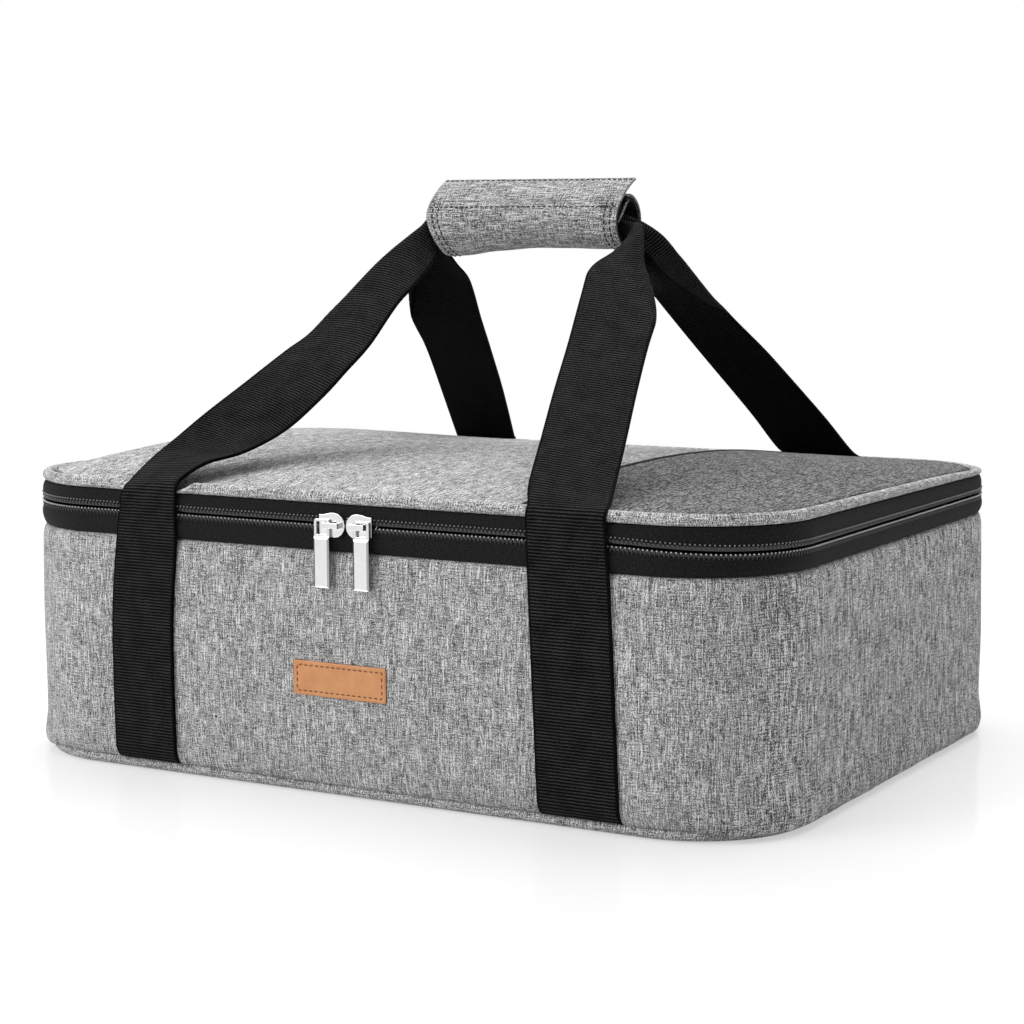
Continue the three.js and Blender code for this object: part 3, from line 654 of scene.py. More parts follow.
# Each coil row: half, kind, finish, height, width, tallness, lean in degrees, outset and start
# The crests and the upper rods take the lighter copies of the coil plastic: painted highlights
coilRows = (
    ("Lower", "Rods", coilPlastic, 123.0, 0.8, 2.5, 0, -0.25, 0.0),
    ("Lower", "Crests", coilLowerCrestGlint, 124.4, 0.8, 0.75, 0, 0.1, 0.0),
    ("Upper", "Rods", coilUpperRodSheen, 126.9, 0.6, 1.9, -32, -0.2, 1.4),
    ("Upper", "Crests", coilUpperCrestHighlight, 128.3, 0.85, 0.75, 0, 0.1, 0.7),
)


def zipSag(x):
    return zipper["endSag"] * smooth(x, zipper["sagStart"], zipper["sagFull"])


def makeZipper():
    slotLow, slotHigh = body["chain"] - zipper["slot"] / 2, body["chain"] + zipper["slot"] / 2
    front, back = zipper["tapeFront"], zipper["tapeBack"]
    rise = np.linspace(0, 1, 15)
    for half, rider, low, high in (
        ("Lower", "tub", zipper["low"], slotLow), ("Upper", "lid", slotHigh, zipper["high"]),
    ):
        onLid = rider == "lid"
        puffed = front + zipper["puff" + half] * np.sin(math.pi * rise) ** 0.8
        face = np.column_stack((puffed, low + (high - low) * rise))
        rows = sweep(zipRun, np.concatenate((face, (face - (front - back, 0))[::-1])), onLid)
        climb = np.concatenate((rise, rise[::-1]))
        rows[:, :, 2] -= zipSag(zipRun[:, 0:1]) * (1 - climb if onLid else climb)
        tape = skin("zipTape" + half, rows, bandCloth, tube=True)
        fit(tape, rider, "zip_band", "zipper_tape_" + half.lower())
        bedLow = slotHigh if onLid else slotLow - zipper["coilHeight"]
        bedFront, bedHigh = zipper["coilBack"] + zipper["bedThick"], bedLow + zipper["coilHeight"]
        section = roundedBox(bedFront, zipper["coilBack"], bedLow, bedHigh, zipper["bedRound"], 2)
        rows = sweep(zipRun, section)
        rows[:, :, 2] -= zipSag(zipRun[:, 0:1])
        bed = skin("coilBed" + half, rows, coilPlastic, tube=True)
        fit(bed, rider, "zip_coil", "zipper_coil_" + half.lower())
    for half, kind, finish, height, width, tall, lean, outset, start in coilRows:
        path = sweep(zipRun, [(outset, height)], half == "Upper")[:, 0]
        path[:, 2] -= zipSag(zipRun[:, 0])
        teeth = scattered("coil" + kind + half, path, rowTree("coilTeeth"), {
            "Pitch": zipper["pitch"] * mm, "Start": start * mm, "Width": width * mm, "Depth": zipper["depth"] * mm,
            "Height": tall * mm, "Lean": math.radians(lean), "Material": finish,
        })
        fit(teeth, "lid" if half == "Upper" else "tub", "zip_coil")


# Rows laid by nodes: each kind's sizes, those that stretch a ball along x, y and z, and how it faces
rowKinds = dict(
    coilTeeth=dict(
        labels=("Pitch", "Start", "Width", "Depth", "Height", "Lean"), stretch=("Width", "Depth", "Height"),
        facing=dict(axis="X", pivot_axis="Z"),
    ),
    stitchRow=dict(
        labels=("Pitch", "Length", "Width"), stretch=("Width", "Width", "Length"), facing=dict(axis="Z"),
    ),
)
rowTrees = {}


def rowTree(kind):
    if kind not in rowTrees:
        rowTrees[kind] = buildRows(kind, **rowKinds[kind])
    return rowTrees[kind]


def buildRows(kind, labels, stretch, facing):
    tree = bpy.data.node_groups.new(kind, "GeometryNodeTree")
    sockets = [("Geometry", "Geometry"), *((label, "Float") for label in labels), ("Material", "Material")]
    for label, socketKind in sockets:
        tree.interface.new_socket(label, in_out="INPUT", socket_type="NodeSocket" + socketKind)
    tree.interface.new_socket("Geometry", in_out="OUTPUT", socket_type="NodeSocketGeometry")
    sheet = Sheet(tree)
    entry = sheet.node("NodeGroupInput")
    size = {label: entry.twin(label) for label in labels}
    ball = sheet.node("GeometryNodeMeshUVSphere", {"Segments": 6, "Rings": 5, "Radius": 0.5})
    shape = {"Geometry": ball, "Scale": sheet.vector(*(size[label] for label in stretch))}
    curve = sheet.node("GeometryNodeMeshToCurve", {0: entry})
    if "Lean" in size:
        shape["Rotation"] = sheet.vector(0.0, size["Lean"], 0.0)
    if "Start" in size:
        length = sheet.node("GeometryNodeCurveLength", {0: curve})
        curve = sheet.node("GeometryNodeTrimCurve", {0: curve, 4: size["Start"], 5: length}, mode="LENGTH")
    bead = sheet.node("GeometryNodeTransform", shape)
    points = sheet.node("GeometryNodeResampleCurve", {"Curve": curve, "Length": size["Pitch"]}, mode="LENGTH")
    tangent = sheet.node("GeometryNodeInputTangent")
    turned = sheet.node("FunctionNodeAlignRotationToVector", {"Vector": tangent}, **facing)
    laid = sheet.node("GeometryNodeInstanceOnPoints", {"Points": points, "Instance": bead, "Rotation": turned})
    whole = sheet.node("GeometryNodeRealizeInstances", {0: laid})
    smoothed = sheet.node("GeometryNodeSetShadeSmooth", {"Geometry": whole})
    done = sheet.node("GeometryNodeSetMaterial", {"Geometry": smoothed, "Material": entry.twin("Material")})
    sheet.join(done, tree.nodes.new("NodeGroupOutput").inputs[0])
    return tree


def scattered(name, path, tree, values, loop=False):
    count = len(path)
    edges = [(k, k + 1) for k in range(count - 1)] + ([(count - 1, 0)] if loop else [])
    line = bpy.data.meshes.new(name + "Path")
    line.from_pydata((np.asarray(path) * mm).tolist(), edges, [])
    carrier = placed(name + "Path", line)
    layer = carrier.modifiers.new("rows", "NODES")
    layer.node_group = tree
    for socket in tree.interface.items_tree:
        if socket.in_out == "INPUT" and socket.name in values:
            layer[socket.identifier] = values[socket.name]
    mesh = finalMesh(carrier)
    mesh.name = name
    bpy.data.objects.remove(carrier)
    return placed(name, mesh)


def stitches(name, path, rider, thread, slotName, pitch, length, width, loop=False):
    piece = scattered(name, path, rowTree("stitchRow"), {
        "Pitch": pitch * mm, "Length": length * mm, "Width": width * mm, "Material": thread,
    }, loop)
    fit(piece, rider, slotName)


# Hinge: one strip of band cloth between the tub and the lid
hinge = dict(low=113.0, high=133.8, thick=1.0, reach=139.7, bendLow=121.5, bendHigh=128.5)


def makeHinge():
    y = halfWidth + zipper["tapeFront"]
    across = np.linspace(-hinge["reach"], hinge["reach"], 30)
    x, z = np.meshgrid(across, np.linspace(hinge["low"], hinge["high"], 42))
    lifted = np.where(z > body["chain"], settled(z, halfWidth), z)
    faces = [np.stack((x, 0 * x + y - depth, lifted), axis=2) for depth in (0, hinge["thick"])]
    piece = slab("hingeCloth", *faces, bandCloth)
    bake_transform(piece)
    fit(piece, None, "zip_band", "hinge_strip_lower", "hinge_strip_upper")


# Lid: crowned top, pocket, piping and inner face
lid = dict(
    crown=12, leftSteep=14, rightSteep=4, leftRise=3.6, riseStart=20, riseFull=170, wave=0.35, waveSize=70,
    rearPress=2.2, pressStart=40, pressFull=150, groove=1.3, grooveReach=2.2, fill=0.8,
    strapDent=4.4, dentShift=4, dentShrink=3, dentShare=0.7, dentMargin=14, dentReach=22, cordMargin=9,
    edge=137.3, edgeOutset=-5.7, cloth=1, gap=0.4, foam=8, foamOutset=-9.4, linerThick=0.8, linerOutset=-8.9,
    tapeFront=-2.5, tapeLow=131.8, tapeHigh=133.8, tapeRound=0.6, bindingThick=1.2,
    pocketMouth=89, pocketThick=0.8, pocketBinding=2.4, pocketGap=0.3, pocketBend=145, pocketReach=53,
)


def onCord(z):
    return np.clip((z - bandTop) / cordSize, 0, 1)


def pressed(z, y):
    return z - lid["rearPress"] * smooth(y, lid["pressStart"], lid["pressFull"]) * onCord(z)


def leftCover(x, margin):
    half = straps["width"] / 2 - lid["dentShrink"]
    return 1 - smooth(abs(x + straps["spacing"] / 2 - lid["dentShift"]), half, half + margin)


def lidHeight(x, y):
    steep = np.where(x < 0, lid["leftSteep"], lid["rightSteep"])
    across = 1 - abs(x / (halfLength - cordSize)) ** steep
    along = 1 - abs(y / (halfWidth - cordSize)) ** 2
    crown = lid["crown"] + lid["leftRise"] * smooth(-x, lid["riseStart"], lid["riseFull"])
    crown = crown + lid["wave"] * ripple(x, y, lid["waveSize"], 11)
    outX, outY = (np.maximum(abs(v) - half + body["corner"], 0) for v, half in ((x, halfLength), (y, halfWidth)))
    inside = body["corner"] + lid["edgeOutset"] - np.hypot(outX, outY)
    groove = lid["groove"] * (1 - smooth(inside, 0, lid["grooveReach"]))
    atFront = 1 - smooth(y, -halfWidth, -halfWidth + lid["dentReach"])
    dent = lid["dentShare"] * lid["strapDent"] * leftCover(x, lid["dentMargin"]) * atFront
    return pressed(lid["edge"] + 0 * x, y) + crown * across * along - groove - dent


def domeRings(outset, offset, shares):
    edge = sweep(lapRun, [(outset, 0)])[:, 0, :2]
    rings = []
    for x, y in ((edge * share).T for share in shares):
        rings.append(np.column_stack((x, y, settled(lidHeight(x, y) + offset, y))))
    return rings


# Rings lie closer near the seam, where the groove is
domeShares = (1, 0.997, 0.994, 0.99, 0.985, 0.978, 0.965, 0.95, 0.93, 0.9, *np.linspace(0.86, 0, 16))


def domeShell(name, outset, offset, thick, finish):
    under = domeRings(outset, offset - thick, domeShares[::-1])
    rows = closed(np.array(under + domeRings(outset, offset, domeShares)))
    return skin(name, rows, finish, places=rows[:, :, :2])


def pocketEdge(x):
    radius = body["corner"] + lid["edgeOutset"]
    past = np.maximum(x - (halfLength - body["corner"]), 0)
    return halfWidth - body["corner"] + np.sqrt(np.maximum(radius ** 2 - past ** 2, 0))


def lidPatch(name, xs, thick, finish):
    xs = np.asarray(xs, float)[:, None]
    shares = np.sin(np.linspace(-math.pi / 2, math.pi / 2, 72))[None, :]
    x, y = xs + 0 * shares, pocketEdge(xs) * shares
    height = lidHeight(x, y) + lid["gap"]
    top, under = (np.stack((x, y, settled(height + rise, y)), axis=2) for rise in (thick, 0))
    plan = top[:, :, :2]
    return slab(name, top, under, finish, places=closed(np.concatenate((plan, plan[:, ::-1]), axis=1)))


def makeLid():
    foamDrop = lid["cloth"] + lid["gap"]
    linerDrop = foamDrop + lid["foam"] + lid["gap"]
    top = domeShell("lidTop", lid["edgeOutset"], 0, lid["cloth"], lidCloth)
    foam = domeShell("lidFoam", lid["foamOutset"], -foamDrop, lid["foam"], foamWhite)
    inner = domeShell("lidInner", lid["linerOutset"], -linerDrop, lid["linerThick"], linerFilm)
    cordRows = sweep(lapRun, circle(-cordSize / 2, bandTop + cordSize / 2, cordSize))
    cordRows[:, :, 2] = settled(pressed(cordRows[:, :, 2], cordRows[:, :, 1]), cordRows[:, :, 1])
    atFront = lapRun[:, 1] < -halfWidth + cordSize
    dent = (lid["strapDent"] * leftCover(lapRun[:, 0], lid["cordMargin"]) * atFront)[:, None]
    cordRows[:, :, 2] -= dent * onCord(cordRows[:, :, 2])
    cord = lapTube("lidPiping", cordRows, pipingCloth)
    section = roundedBox(
        lid["tapeFront"], lid["edgeOutset"], lid["tapeLow"], lid["tapeHigh"], lid["tapeRound"], 3,
    )
    tape = lapTube("lidBinding", sweep(lapRun, section, True), bindingCloth)
    halfBinding = lid["pocketBinding"] / 2
    curve = 1 - np.sin(np.linspace(0, math.pi / 2, 22))
    xs = np.concatenate((
        np.linspace(lid["pocketMouth"] + halfBinding + lid["pocketGap"], lid["pocketBend"], 12),
        halfLength + lid["edgeOutset"] - lid["pocketReach"] * curve,
    ))
    pocket = lidPatch("lidPocket", xs, lid["pocketThick"], pocketCloth)
    xs = lid["pocketMouth"] + np.linspace(-halfBinding, halfBinding, 5)
    edging = lidPatch("pocketEdging", xs, lid["bindingThick"], bindingCloth)
    fit(top, "lid", "heather_cloth", "lid_fabric")
    fit(foam, "lid", "foam", "lid_foam")
    fit(inner, "lid", "liner_film", "lid_liner")
    fit(cord, "lid", "heather_cloth", "lid_piping")
    fit(tape, "lid", "zip_band", "lid_rim_binding")
    fit(pocket, "lid", "pocket_cloth", "lid_pocket")
    fit(edging, "lid", "zip_band", "pocket_binding")


# Handles: each strap runs up the wall, over the lid's edge, into the grip and down again.
# A leg's knots: middle of the strap, the way from its left to its right edge, and how far out its fold lies,
# where 1 and over is flat. Its lean is the shift along x at each height.
legs = {
    (-1, -1): dict(
        bend=66, tilt=0.127, wide=(0.925, 0.84), soft=3.4, sink=4.5, gather=6,
        lean=((5, 0), (35, -0.7), (60, -0.8), (75, -0.5), (90, 0.6), (101, 1.9), (124, 4.2), (140, 5.5)), knots=(
        (-104.3, -139.9, 146.9, 0.99, -0.13, 0.04, 2), (-96.0, -125.3, 154.1, 0.99, 0.09, -0.13, 1.8),
        (-86.7, -107.2, 165.3, 0.92, 0.30, -0.25, 1.5), (-78.6, -89.8, 178.1, 0.96, 0.18, -0.23, 1.3),
        (-71.3, -73.0, 191.4, 0.97, -0.07, -0.22, 1.2), (-64.7, -57.7, 204.0, 0.96, -0.22, -0.20, 1.1),
        (-58.1, -34.8, 229.0, 0.89, -0.28, -0.35, 0.65), (-48.2, -12.1, 253.0, 0.63, -0.09, -0.77, 0.24),
    )),
    (-1, 1): dict(bend=53, tilt=0, wide=(1.03, 1), soft=1.5, sink=8, gather=9, lean=((5, 6.5), (137, 0.5)), knots=(
        (109.7, -144.0, 146.7, 0.98, 0.19, -0.05, 2), (103.4, -122.0, 163.8, 0.98, 0.21, -0.03, 1.6),
        (96.3, -97.7, 182.8, 0.98, 0.20, -0.02, 1.3), (90.3, -73.8, 203.3, 0.98, 0.18, 0.02, 1.12),
        (85.2, -51.8, 223.0, 0.97, 0.23, -0.01, 0.88), (79.6, -32.8, 239.4, 0.98, 0.17, 0.09, 0.45),
        (75.1, -16.0, 255.4, 0.66, 0.16, 0.74, 0.22),
    )),
    (1, -1): dict(bend=53, tilt=0, wide=(1, 1), soft=0, sink=4.5, gather=6, lean=((100, 0), (137, 2.8)), knots=(
        (-97.5, 118.9, 163.8, 1.00, 0.07, 0.04, 1.4), (-85.8, 85.5, 188.6, 0.99, 0.11, 0.02, 1.2),
        (-76.9, 56.6, 210.8, 0.97, 0.25, 0.00, 0.99), (-67.6, 33.2, 233.9, 0.86, 0.38, -0.35, 0.76),
        (-56.8, 14.7, 253.0, 0.50, 0.26, -0.82, 0.35),
    )),
    (1, 1): dict(bend=62, tilt=-0.12, wide=(1, 1), soft=0, sink=6, gather=6, lean=((80, 0), (137, -9)), knots=(
        (102.5, 141.0, 136.6, 0.93, 0.36, -0.04, 1.6), (95.2, 116.8, 158.4, 0.88, 0.47, -0.07, 1.45),
        (80.2, 84.6, 191.2, 0.88, 0.45, -0.13, 1.28), (71.3, 53.1, 217.0, 0.90, 0.37, -0.23, 1.02),
        (77.0, 29.4, 228.9, 0.94, 0.32, -0.08, 0.57), (81.1, 10.3, 240.8, 0.88, 0.28, 0.38, 0.28),
        (77.0, 0.3, 251.5, 0.53, 0.17, 0.83, 0.20),
    )),
}


def throughKnots(knots, steps=10):
    rows = []
    for before, first, second, after in zip(knots, knots[1:], knots[2:], knots[3:]):
        bend = 2 * before - 5 * first + 4 * second - after
        turn = 3 * first - before - 3 * second + after
        for t in np.arange(steps) / steps:
            rows.append(0.5 * (2 * first + (second - before) * t + bend * t ** 2 + turn * t ** 3))
    return np.array(rows)


def legStations(side, hand):
    leg, pivot = legs[side, hand], straps["pivot"]
    pipingPlane = halfWidth - cordSize / 2
    pipingHeight = settled(pressed(bandTop + cordSize / 2, side * halfWidth), side * halfWidth)
    reach = legPlane + straps["planeGap"] - pipingPlane
    rise = reach - (0 if side < 0 else straps["rearSink"])
    soft = leg["soft"]
    straight = body["wallTop"] - body["topRoll"]
    spots = [(legPlane + outset, z) for outset, z in wallLine() if z < straight]
    turnHeight = pipingHeight - soft * straps["softDrop"]
    for share in np.linspace(0, 1, 7):
        z = pivot - 1 + share * (turnHeight - pivot + 1)
        spots.append((legPlane + straps["planeGap"] * smooth(share, 0, 0.4), z))
    for angle in np.radians(np.linspace(0, leg["bend"], 7)[1:]):
        y = pipingPlane - soft + (reach + soft) * math.cos(angle)
        spots.append((y, turnHeight + (rise + soft) * math.sin(angle)))
    stations = []
    for y, z in spots:
        x = hand * straps["spacing"] / 2 + np.interp(z, *zip(*leg["lean"]))
        high = float(smooth(z, pivot - 10, pipingHeight + 2))
        wide = leg["wide"][0] + (leg["wide"][1] - leg["wide"][0]) * high
        stations.append((x, side * y, z, 1, 0, leg["tilt"] * high, 2, wide))
    inY = grip["lean"] + side * straps["mouthGap"] / 2
    inX = grip["shift"] + hand * (grip["length"] / 2 + grip["gap"])
    inside = [
        (inX - hand * depth, inY, straps["ridge"] - drop, 0, 0, hand, 0, 1)
        for depth, drop in ((0, leg["sink"]), (30, 0), (60, 0))
    ]
    free = throughKnots(np.array(stations[-2:] + [(*knot, 1) for knot in leg["knots"]] + inside, float))
    return np.concatenate((np.array(stations[:-1], float), free, np.array(inside[1:2], float)))


# Across the strap: straight as far as the crease, then round it and back
def sectionPoints(middle, out, outward, half, crease, rise, spots):
    radius, turn = straps["creaseRadius"], math.radians(straps["creaseTurn"])
    points = []
    for spot in spots:
        over = (spot - crease) * half
        if over <= 0:
            points.append(middle + outward * spot * half + out * rise)
            continue
        angle = min(over / radius, turn)
        rest = over - angle * radius
        sideways = crease * half + (radius + rise) * math.sin(angle) + rest * math.cos(angle)
        drop = radius - (radius + rise) * math.cos(angle) + rest * math.sin(angle)
        points.append(middle + outward * sideways - out * drop)
    return points


def makeStrap(name, side, nodes):
    left, right = legStations(side, -1), legStations(side, 1)[::-1]
    right[:, 3:6] *= -1
    stations = np.concatenate((left, right))
    ahead = np.gradient(stations[:, :3], axis=0)
    nominal, lap, halfThick = straps["width"] / 2, webbing["lap"] / mm, straps["thick"] / 2
    marks = np.linspace(-1, 1, 9)
    rows, around, lines, spread = [], [], [], []
    for k, station in enumerate(stations):
        outward = -station[3:6] / np.linalg.norm(station[3:6])
        flat = 1 - station[6]
        crease = max(1 - (flat + math.sqrt(flat ** 2 + straps["creaseEase"])) / 2, 0)
        out = side * np.cross(outward, ahead[k])
        out /= np.linalg.norm(out)
        gather = legs[side, -1 if k < len(left) else 1]["gather"]
        half = nominal * station[7] - gather * (1 - float(smooth(crease, 0, 0.6)))
        crease -= (straps["creaseRadius"] + halfThick) / half * float(smooth(1 - crease, 0, 0.2))
        bent = min(max(crease, -0.2), 0.8)
        past = bent + 0.19
        spots = (np.linspace(-1, bent, 13), np.linspace(bent, past, 8)[1:], np.linspace(past, 1, 7)[1:])
        spots = np.concatenate(spots)
        outer, inner, line = (
            sectionPoints(station[:3], out, outward, half, crease, rise, places)
            for rise, places in ((halfThick, spots), (-halfThick, spots), (0, marks))
        )
        rows.append(outer + inner[::-1])
        lines.append(line)
        spread.append(spots)
        around.append(np.concatenate(((spots + 1) * nominal, lap + (1 - spots[::-1]) * nominal, (2 * lap,))))
    # The ribs keep their pitch: each line along the strap is measured from the foot of its own leg
    steps = np.linalg.norm(np.diff(lines, axis=0), axis=2)
    runs = np.concatenate((np.zeros((1, len(marks))), np.cumsum(steps, axis=0)))
    runs[len(left):] += runs[-1].mean() - runs[-1]
    along = [np.interp(spots, marks, run) for spots, run in zip(spread, runs)]
    along = np.array([np.concatenate((run, run[::-1], run[:1])) for run in along])
    piece = skin(name, np.array(rows), strapCloth, tube=True, places=np.stack((along, np.array(around)), axis=2))
    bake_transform(piece)
    fit(piece, None, "webbing", *nodes)


# Grip: cloth sleeve with its lining and flap. Its left mouth is flared and slants in below.
grip = dict(
    length=107, radius=13.4, height=258.6, shift=10, lean=-1.5, cloth=1.2, lining=1.5, gap=0.3, padShort=0.6,
    seam=130, seamGap=0.6, end=98, sag=0.6, flare=4.0, slant=7, dimple=0.35, fill=0.6,
    flap=19, flapStart=0.12, flapPuff=0.5, flapTuck=1.8, foldStart=0.4, foldEnd=4.5,
)


def gripPoint(x, turn, radius):
    down = -math.sin(turn)
    sag = grip["sag"] * (1 - (2 * x / grip["length"]) ** 2) * float(smooth(down, 0.2, 1))
    flare = grip["flare"] * float(smooth(-x, -10, 60)) * float(smooth(down, -0.5, 0.95))
    slant = grip["slant"] * float(smooth(-x, 20, 53)) * float(smooth(down, -0.4, 1))
    reach = radius + flare + grip["dimple"] * float(ripple(np.array(x), np.array(turn * 13), 26, 21))
    y, z = grip["lean"] + reach * math.cos(turn), grip["height"] + reach * math.sin(turn) + sag
    return grip["shift"] + x + slant, y, z


def gripRows(inner, outer, startAngle, endAngle, length, steps):
    angles = np.radians(np.linspace(startAngle, endAngle, steps))
    sides = [(turn, outer) for turn in angles] + [(turn, inner) for turn in angles[::-1]]
    return np.array([[gripPoint(x, *side) for side in sides] for x in np.linspace(-length / 2, length / 2, 37)])


# A place by the seam: how far along the tangent there, and how far from the grip's middle
def seamPoint(x, along, away):
    turn = math.radians(grip["seam"])
    y = grip["lean"] + away * math.cos(turn) + along * math.sin(turn)
    return grip["shift"] + x, y, grip["height"] + away * math.sin(turn) - along * math.cos(turn)


def flapPoint(x, along, away):
    share = along / grip["flap"]
    bow = grip["flapPuff"] * math.sin(math.pi * share) - grip["flapTuck"] * share ** 2
    return seamPoint(x, along, away + bow)


def flapRows(near, far, inner, outer, length, steps=16):
    spots, xs = np.linspace(near, far, steps), np.linspace(-length / 2, length / 2, 37)
    return [np.array([[flapPoint(x, along, away) for along in spots] for x in xs]) for away in (outer, inner)]


# Stitching: two rows at each end, one along the seam with a tack, and one on the flap
gripSewing = dict(
    lift=0.1, endRows=(3.4, 6.6), start=140, end=262, seamTurn=17, seamInset=2, tack=(9, 6), flapInset=(1.5, 1.8),
    endStitch=(2.9, 2.3, 0.85), seamStitch=(2.9, 2.1, 0.75), tackStitch=(1.0, 2.0, 1.5),
)


def sewGrip():
    surface, half = grip["radius"] + gripSewing["lift"], grip["length"] / 2
    seam = math.radians(grip["seam"] + gripSewing["seamTurn"])
    endTurns = np.radians(np.linspace(gripSewing["start"], gripSewing["end"], 26))
    endPlaces = [side * (half - inset) for side in (-1, 1) for inset in gripSewing["endRows"]]
    for letter, x in zip("ABCD", endPlaces):
        path = [gripPoint(x, turn, surface) for turn in endTurns]
        stitches("gripStitch" + letter, path, "front_handle", greyThread, "heather_cloth", *gripSewing["endStitch"])
    seamEnd, (tackStart, tackEnd) = half - gripSewing["seamInset"], gripSewing["tack"]
    for name, xs, sizes in (
        ("gripStitchSeam", np.linspace(-seamEnd, seamEnd, 30), gripSewing["seamStitch"]),
        ("gripTack", np.linspace(half - tackStart, half - tackEnd, 5), gripSewing["tackStitch"]),
    ):
        path = [gripPoint(x, seam, surface) for x in xs]
        stitches(name, path, "front_handle", greyThread, "heather_cloth", *sizes)
    endInset, edgeInset = gripSewing["flapInset"]
    xs = np.linspace(endInset - half, half - endInset, 30)
    path = [flapPoint(x, grip["flap"] - edgeInset, surface) for x in xs]
    stitches("flapStitchTop", path, "grip_flap", greyThread, "heather_cloth", *gripSewing["seamStitch"])


# Tuck: the sleeve's inner edge under the flap, with a pale raw end
tuck = dict(depth=6.4, thick=0.7, bow=0.7, bowTurn=2.2, shift=0.6, reach=8.2, start=1.5, lip=1.3, end=0.6)


def makeTuck():
    reach = np.linspace(-1, 1, 12)
    half = grip["length"] / 2
    along = tuck["shift"] + tuck["reach"] * reach
    depth = tuck["depth"] + tuck["bow"] * np.sin(reach * tuck["bowTurn"])
    for name, finish, start, end in (
        ("gripTuck", liningCloth, tuck["start"] - half, half - tuck["lip"]),
        ("gripTuckEdge", tuckCloth, half - tuck["lip"], half - tuck["end"]),
    ):
        rows = []
        for x in np.linspace(start, end, 8):
            top, under = (
                np.column_stack(np.broadcast_arrays(*seamPoint(x, along, depth + lift)))
                for lift in (tuck["thick"] / 2, -tuck["thick"] / 2)
            )
            rows.append(np.concatenate((top, under[::-1])))
        fit(skin(name, rows, finish, tube=True), "front_handle", "heather_cloth")


# Touch fastener: loops on the sleeve and hooks under the flap
fastener = dict(gap=0.3, thick=0.6, short=20, loopStart=63, loopEnd=105, hookStart=8.7, hookEnd=18.7)


def makeGrip():
    radius, length = grip["radius"], grip["length"]
    clothInner = radius - grip["cloth"]
    liningOuter = clothInner - grip["gap"]
    start, end = grip["seam"] + grip["seamGap"], grip["end"] + 360
    sleeveRows = gripRows(clothInner, radius, start, end, length, 60)
    sleeve = skin("gripSleeve", sleeveRows, gripCloth, tube=True, turned=True)
    padRows = gripRows(liningOuter - grip["lining"], liningOuter, start, end, length - grip["padShort"], 60)
    pad = skin("gripPad", padRows, liningCloth, tube=True)
    flapFaces = flapRows(grip["flapStart"], grip["flap"], clothInner, radius, length)
    flap = slab("gripFlap", *flapFaces, gripCloth, turned=True)
    fold = [
        tuple(np.array(flapPoint(0, grip[key], radius - grip["cloth"] / 2)) * mm) for key in ("foldStart", "foldEnd")
    ]
    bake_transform(flap)
    sewGrip()
    makeTuck()
    gap, thick, stripLength = fastener["gap"], fastener["thick"], length - fastener["short"]
    loopRows = gripRows(
        radius + gap, radius + gap + thick, fastener["loopStart"], fastener["loopEnd"], stripLength, 14,
    )
    loops = skin("gripLoops", loopRows, fuzzyBlack, tube=True)
    hookRows = flapRows(
        fastener["hookStart"], fastener["hookEnd"], clothInner - gap - thick, clothInner - gap, stripLength,
    )
    hooks = slab("gripHooks", *hookRows, fuzzyBlack)
    fit(sleeve, "front_handle", "heather_cloth", "grip_wrap")
    fit(pad, "front_handle", "zip_band", "grip_lining")
    fit(loops, "front_handle", "touch_fastener", "grip_loop_strip")
    fit(flap, None, "heather_cloth", "grip_flap")
    fit(hooks, "grip_flap", "touch_fastener", "grip_hook_strip")


# Label: a bare leather patch with a stitched border. Its rings have an inset and a lift each.
label = dict(
    length=50, height=16, corner=0.9, tightest=0.3, shift=-2.0, middle=54.2, gap=0.3,
    inset=2.1, stitchLift=1.5, stitch=(3.0, 2.0, 0.6),
    rings=((0.2, 0), (0, 0.3), (0, 1.1), (0.12, 1.4), (0.4, 1.58), (1.4, 1.6), (2.1, 1.42), (2.9, 1.6), (5, 1.62)),
)


def patchLoop(inset, lift):
    w, h = label["length"] / 2 - inset, label["height"] / 2 - inset
    loop = roundedBox(w, -w, -h, h, max(label["corner"] - inset, label["tightest"]), 6)
    y = np.full(len(loop), -halfWidth - label["gap"] - lift)
    return np.column_stack((loop[:, 0] + label["shift"], y, loop[:, 1] + label["middle"]))


def makeLabel():
    rings = [patchLoop(*ring) for ring in label["rings"]]
    middle = np.array((label["shift"], 0, label["middle"]))
    first, last = rings[0] - middle, rings[-1] - middle
    rings = [middle + first * (0, 1, 0)] + rings + [middle + last * (share, 1, share) for share in (0.7, 0.4, 0)]
    piece = skin("labelPatch", closed(np.array(rings)), labelLeather)
    fit(piece, "tub", "label_leather", "label_patch")
    path = patchLoop(label["inset"], label["stitchLift"])
    stitches("labelStitches", path, "tub", brownThread, "label_leather", *label["stitch"], True)


# Metal pieces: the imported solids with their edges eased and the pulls' faces chamfered
metal = dict(
    weld=1e-6, ease=0.15, limit=35, chamfer=1.0, chamferDepth=0.45, flush=0.02, tagTop=121, sharp=16,
    finishes=(brightMetal, bevelHighlightMetal, sideShadeMetal, darkReflectionMetal),
)


def chamferTag(work):
    front = min(vert.co.y for vert in work.verts)
    flush = front + metal["flush"] * mm
    rim = [
        edge for edge in work.edges
        if all(vert.co.y < flush and vert.co.z < metal["tagTop"] * mm for vert in edge.verts)
        and len(edge.link_faces) == 2 and edge.calc_face_angle() > math.radians(metal["limit"])
    ]
    width = metal["chamfer"] * mm
    cut = bmesh.ops.bevel(work, geom=rim, offset=width, segments=1, affect="EDGES", clamp_overlap=True)
    for vert in cut["verts"]:
        if vert.co.y > flush:
            vert.co.y = front + metal["chamferDepth"] * mm


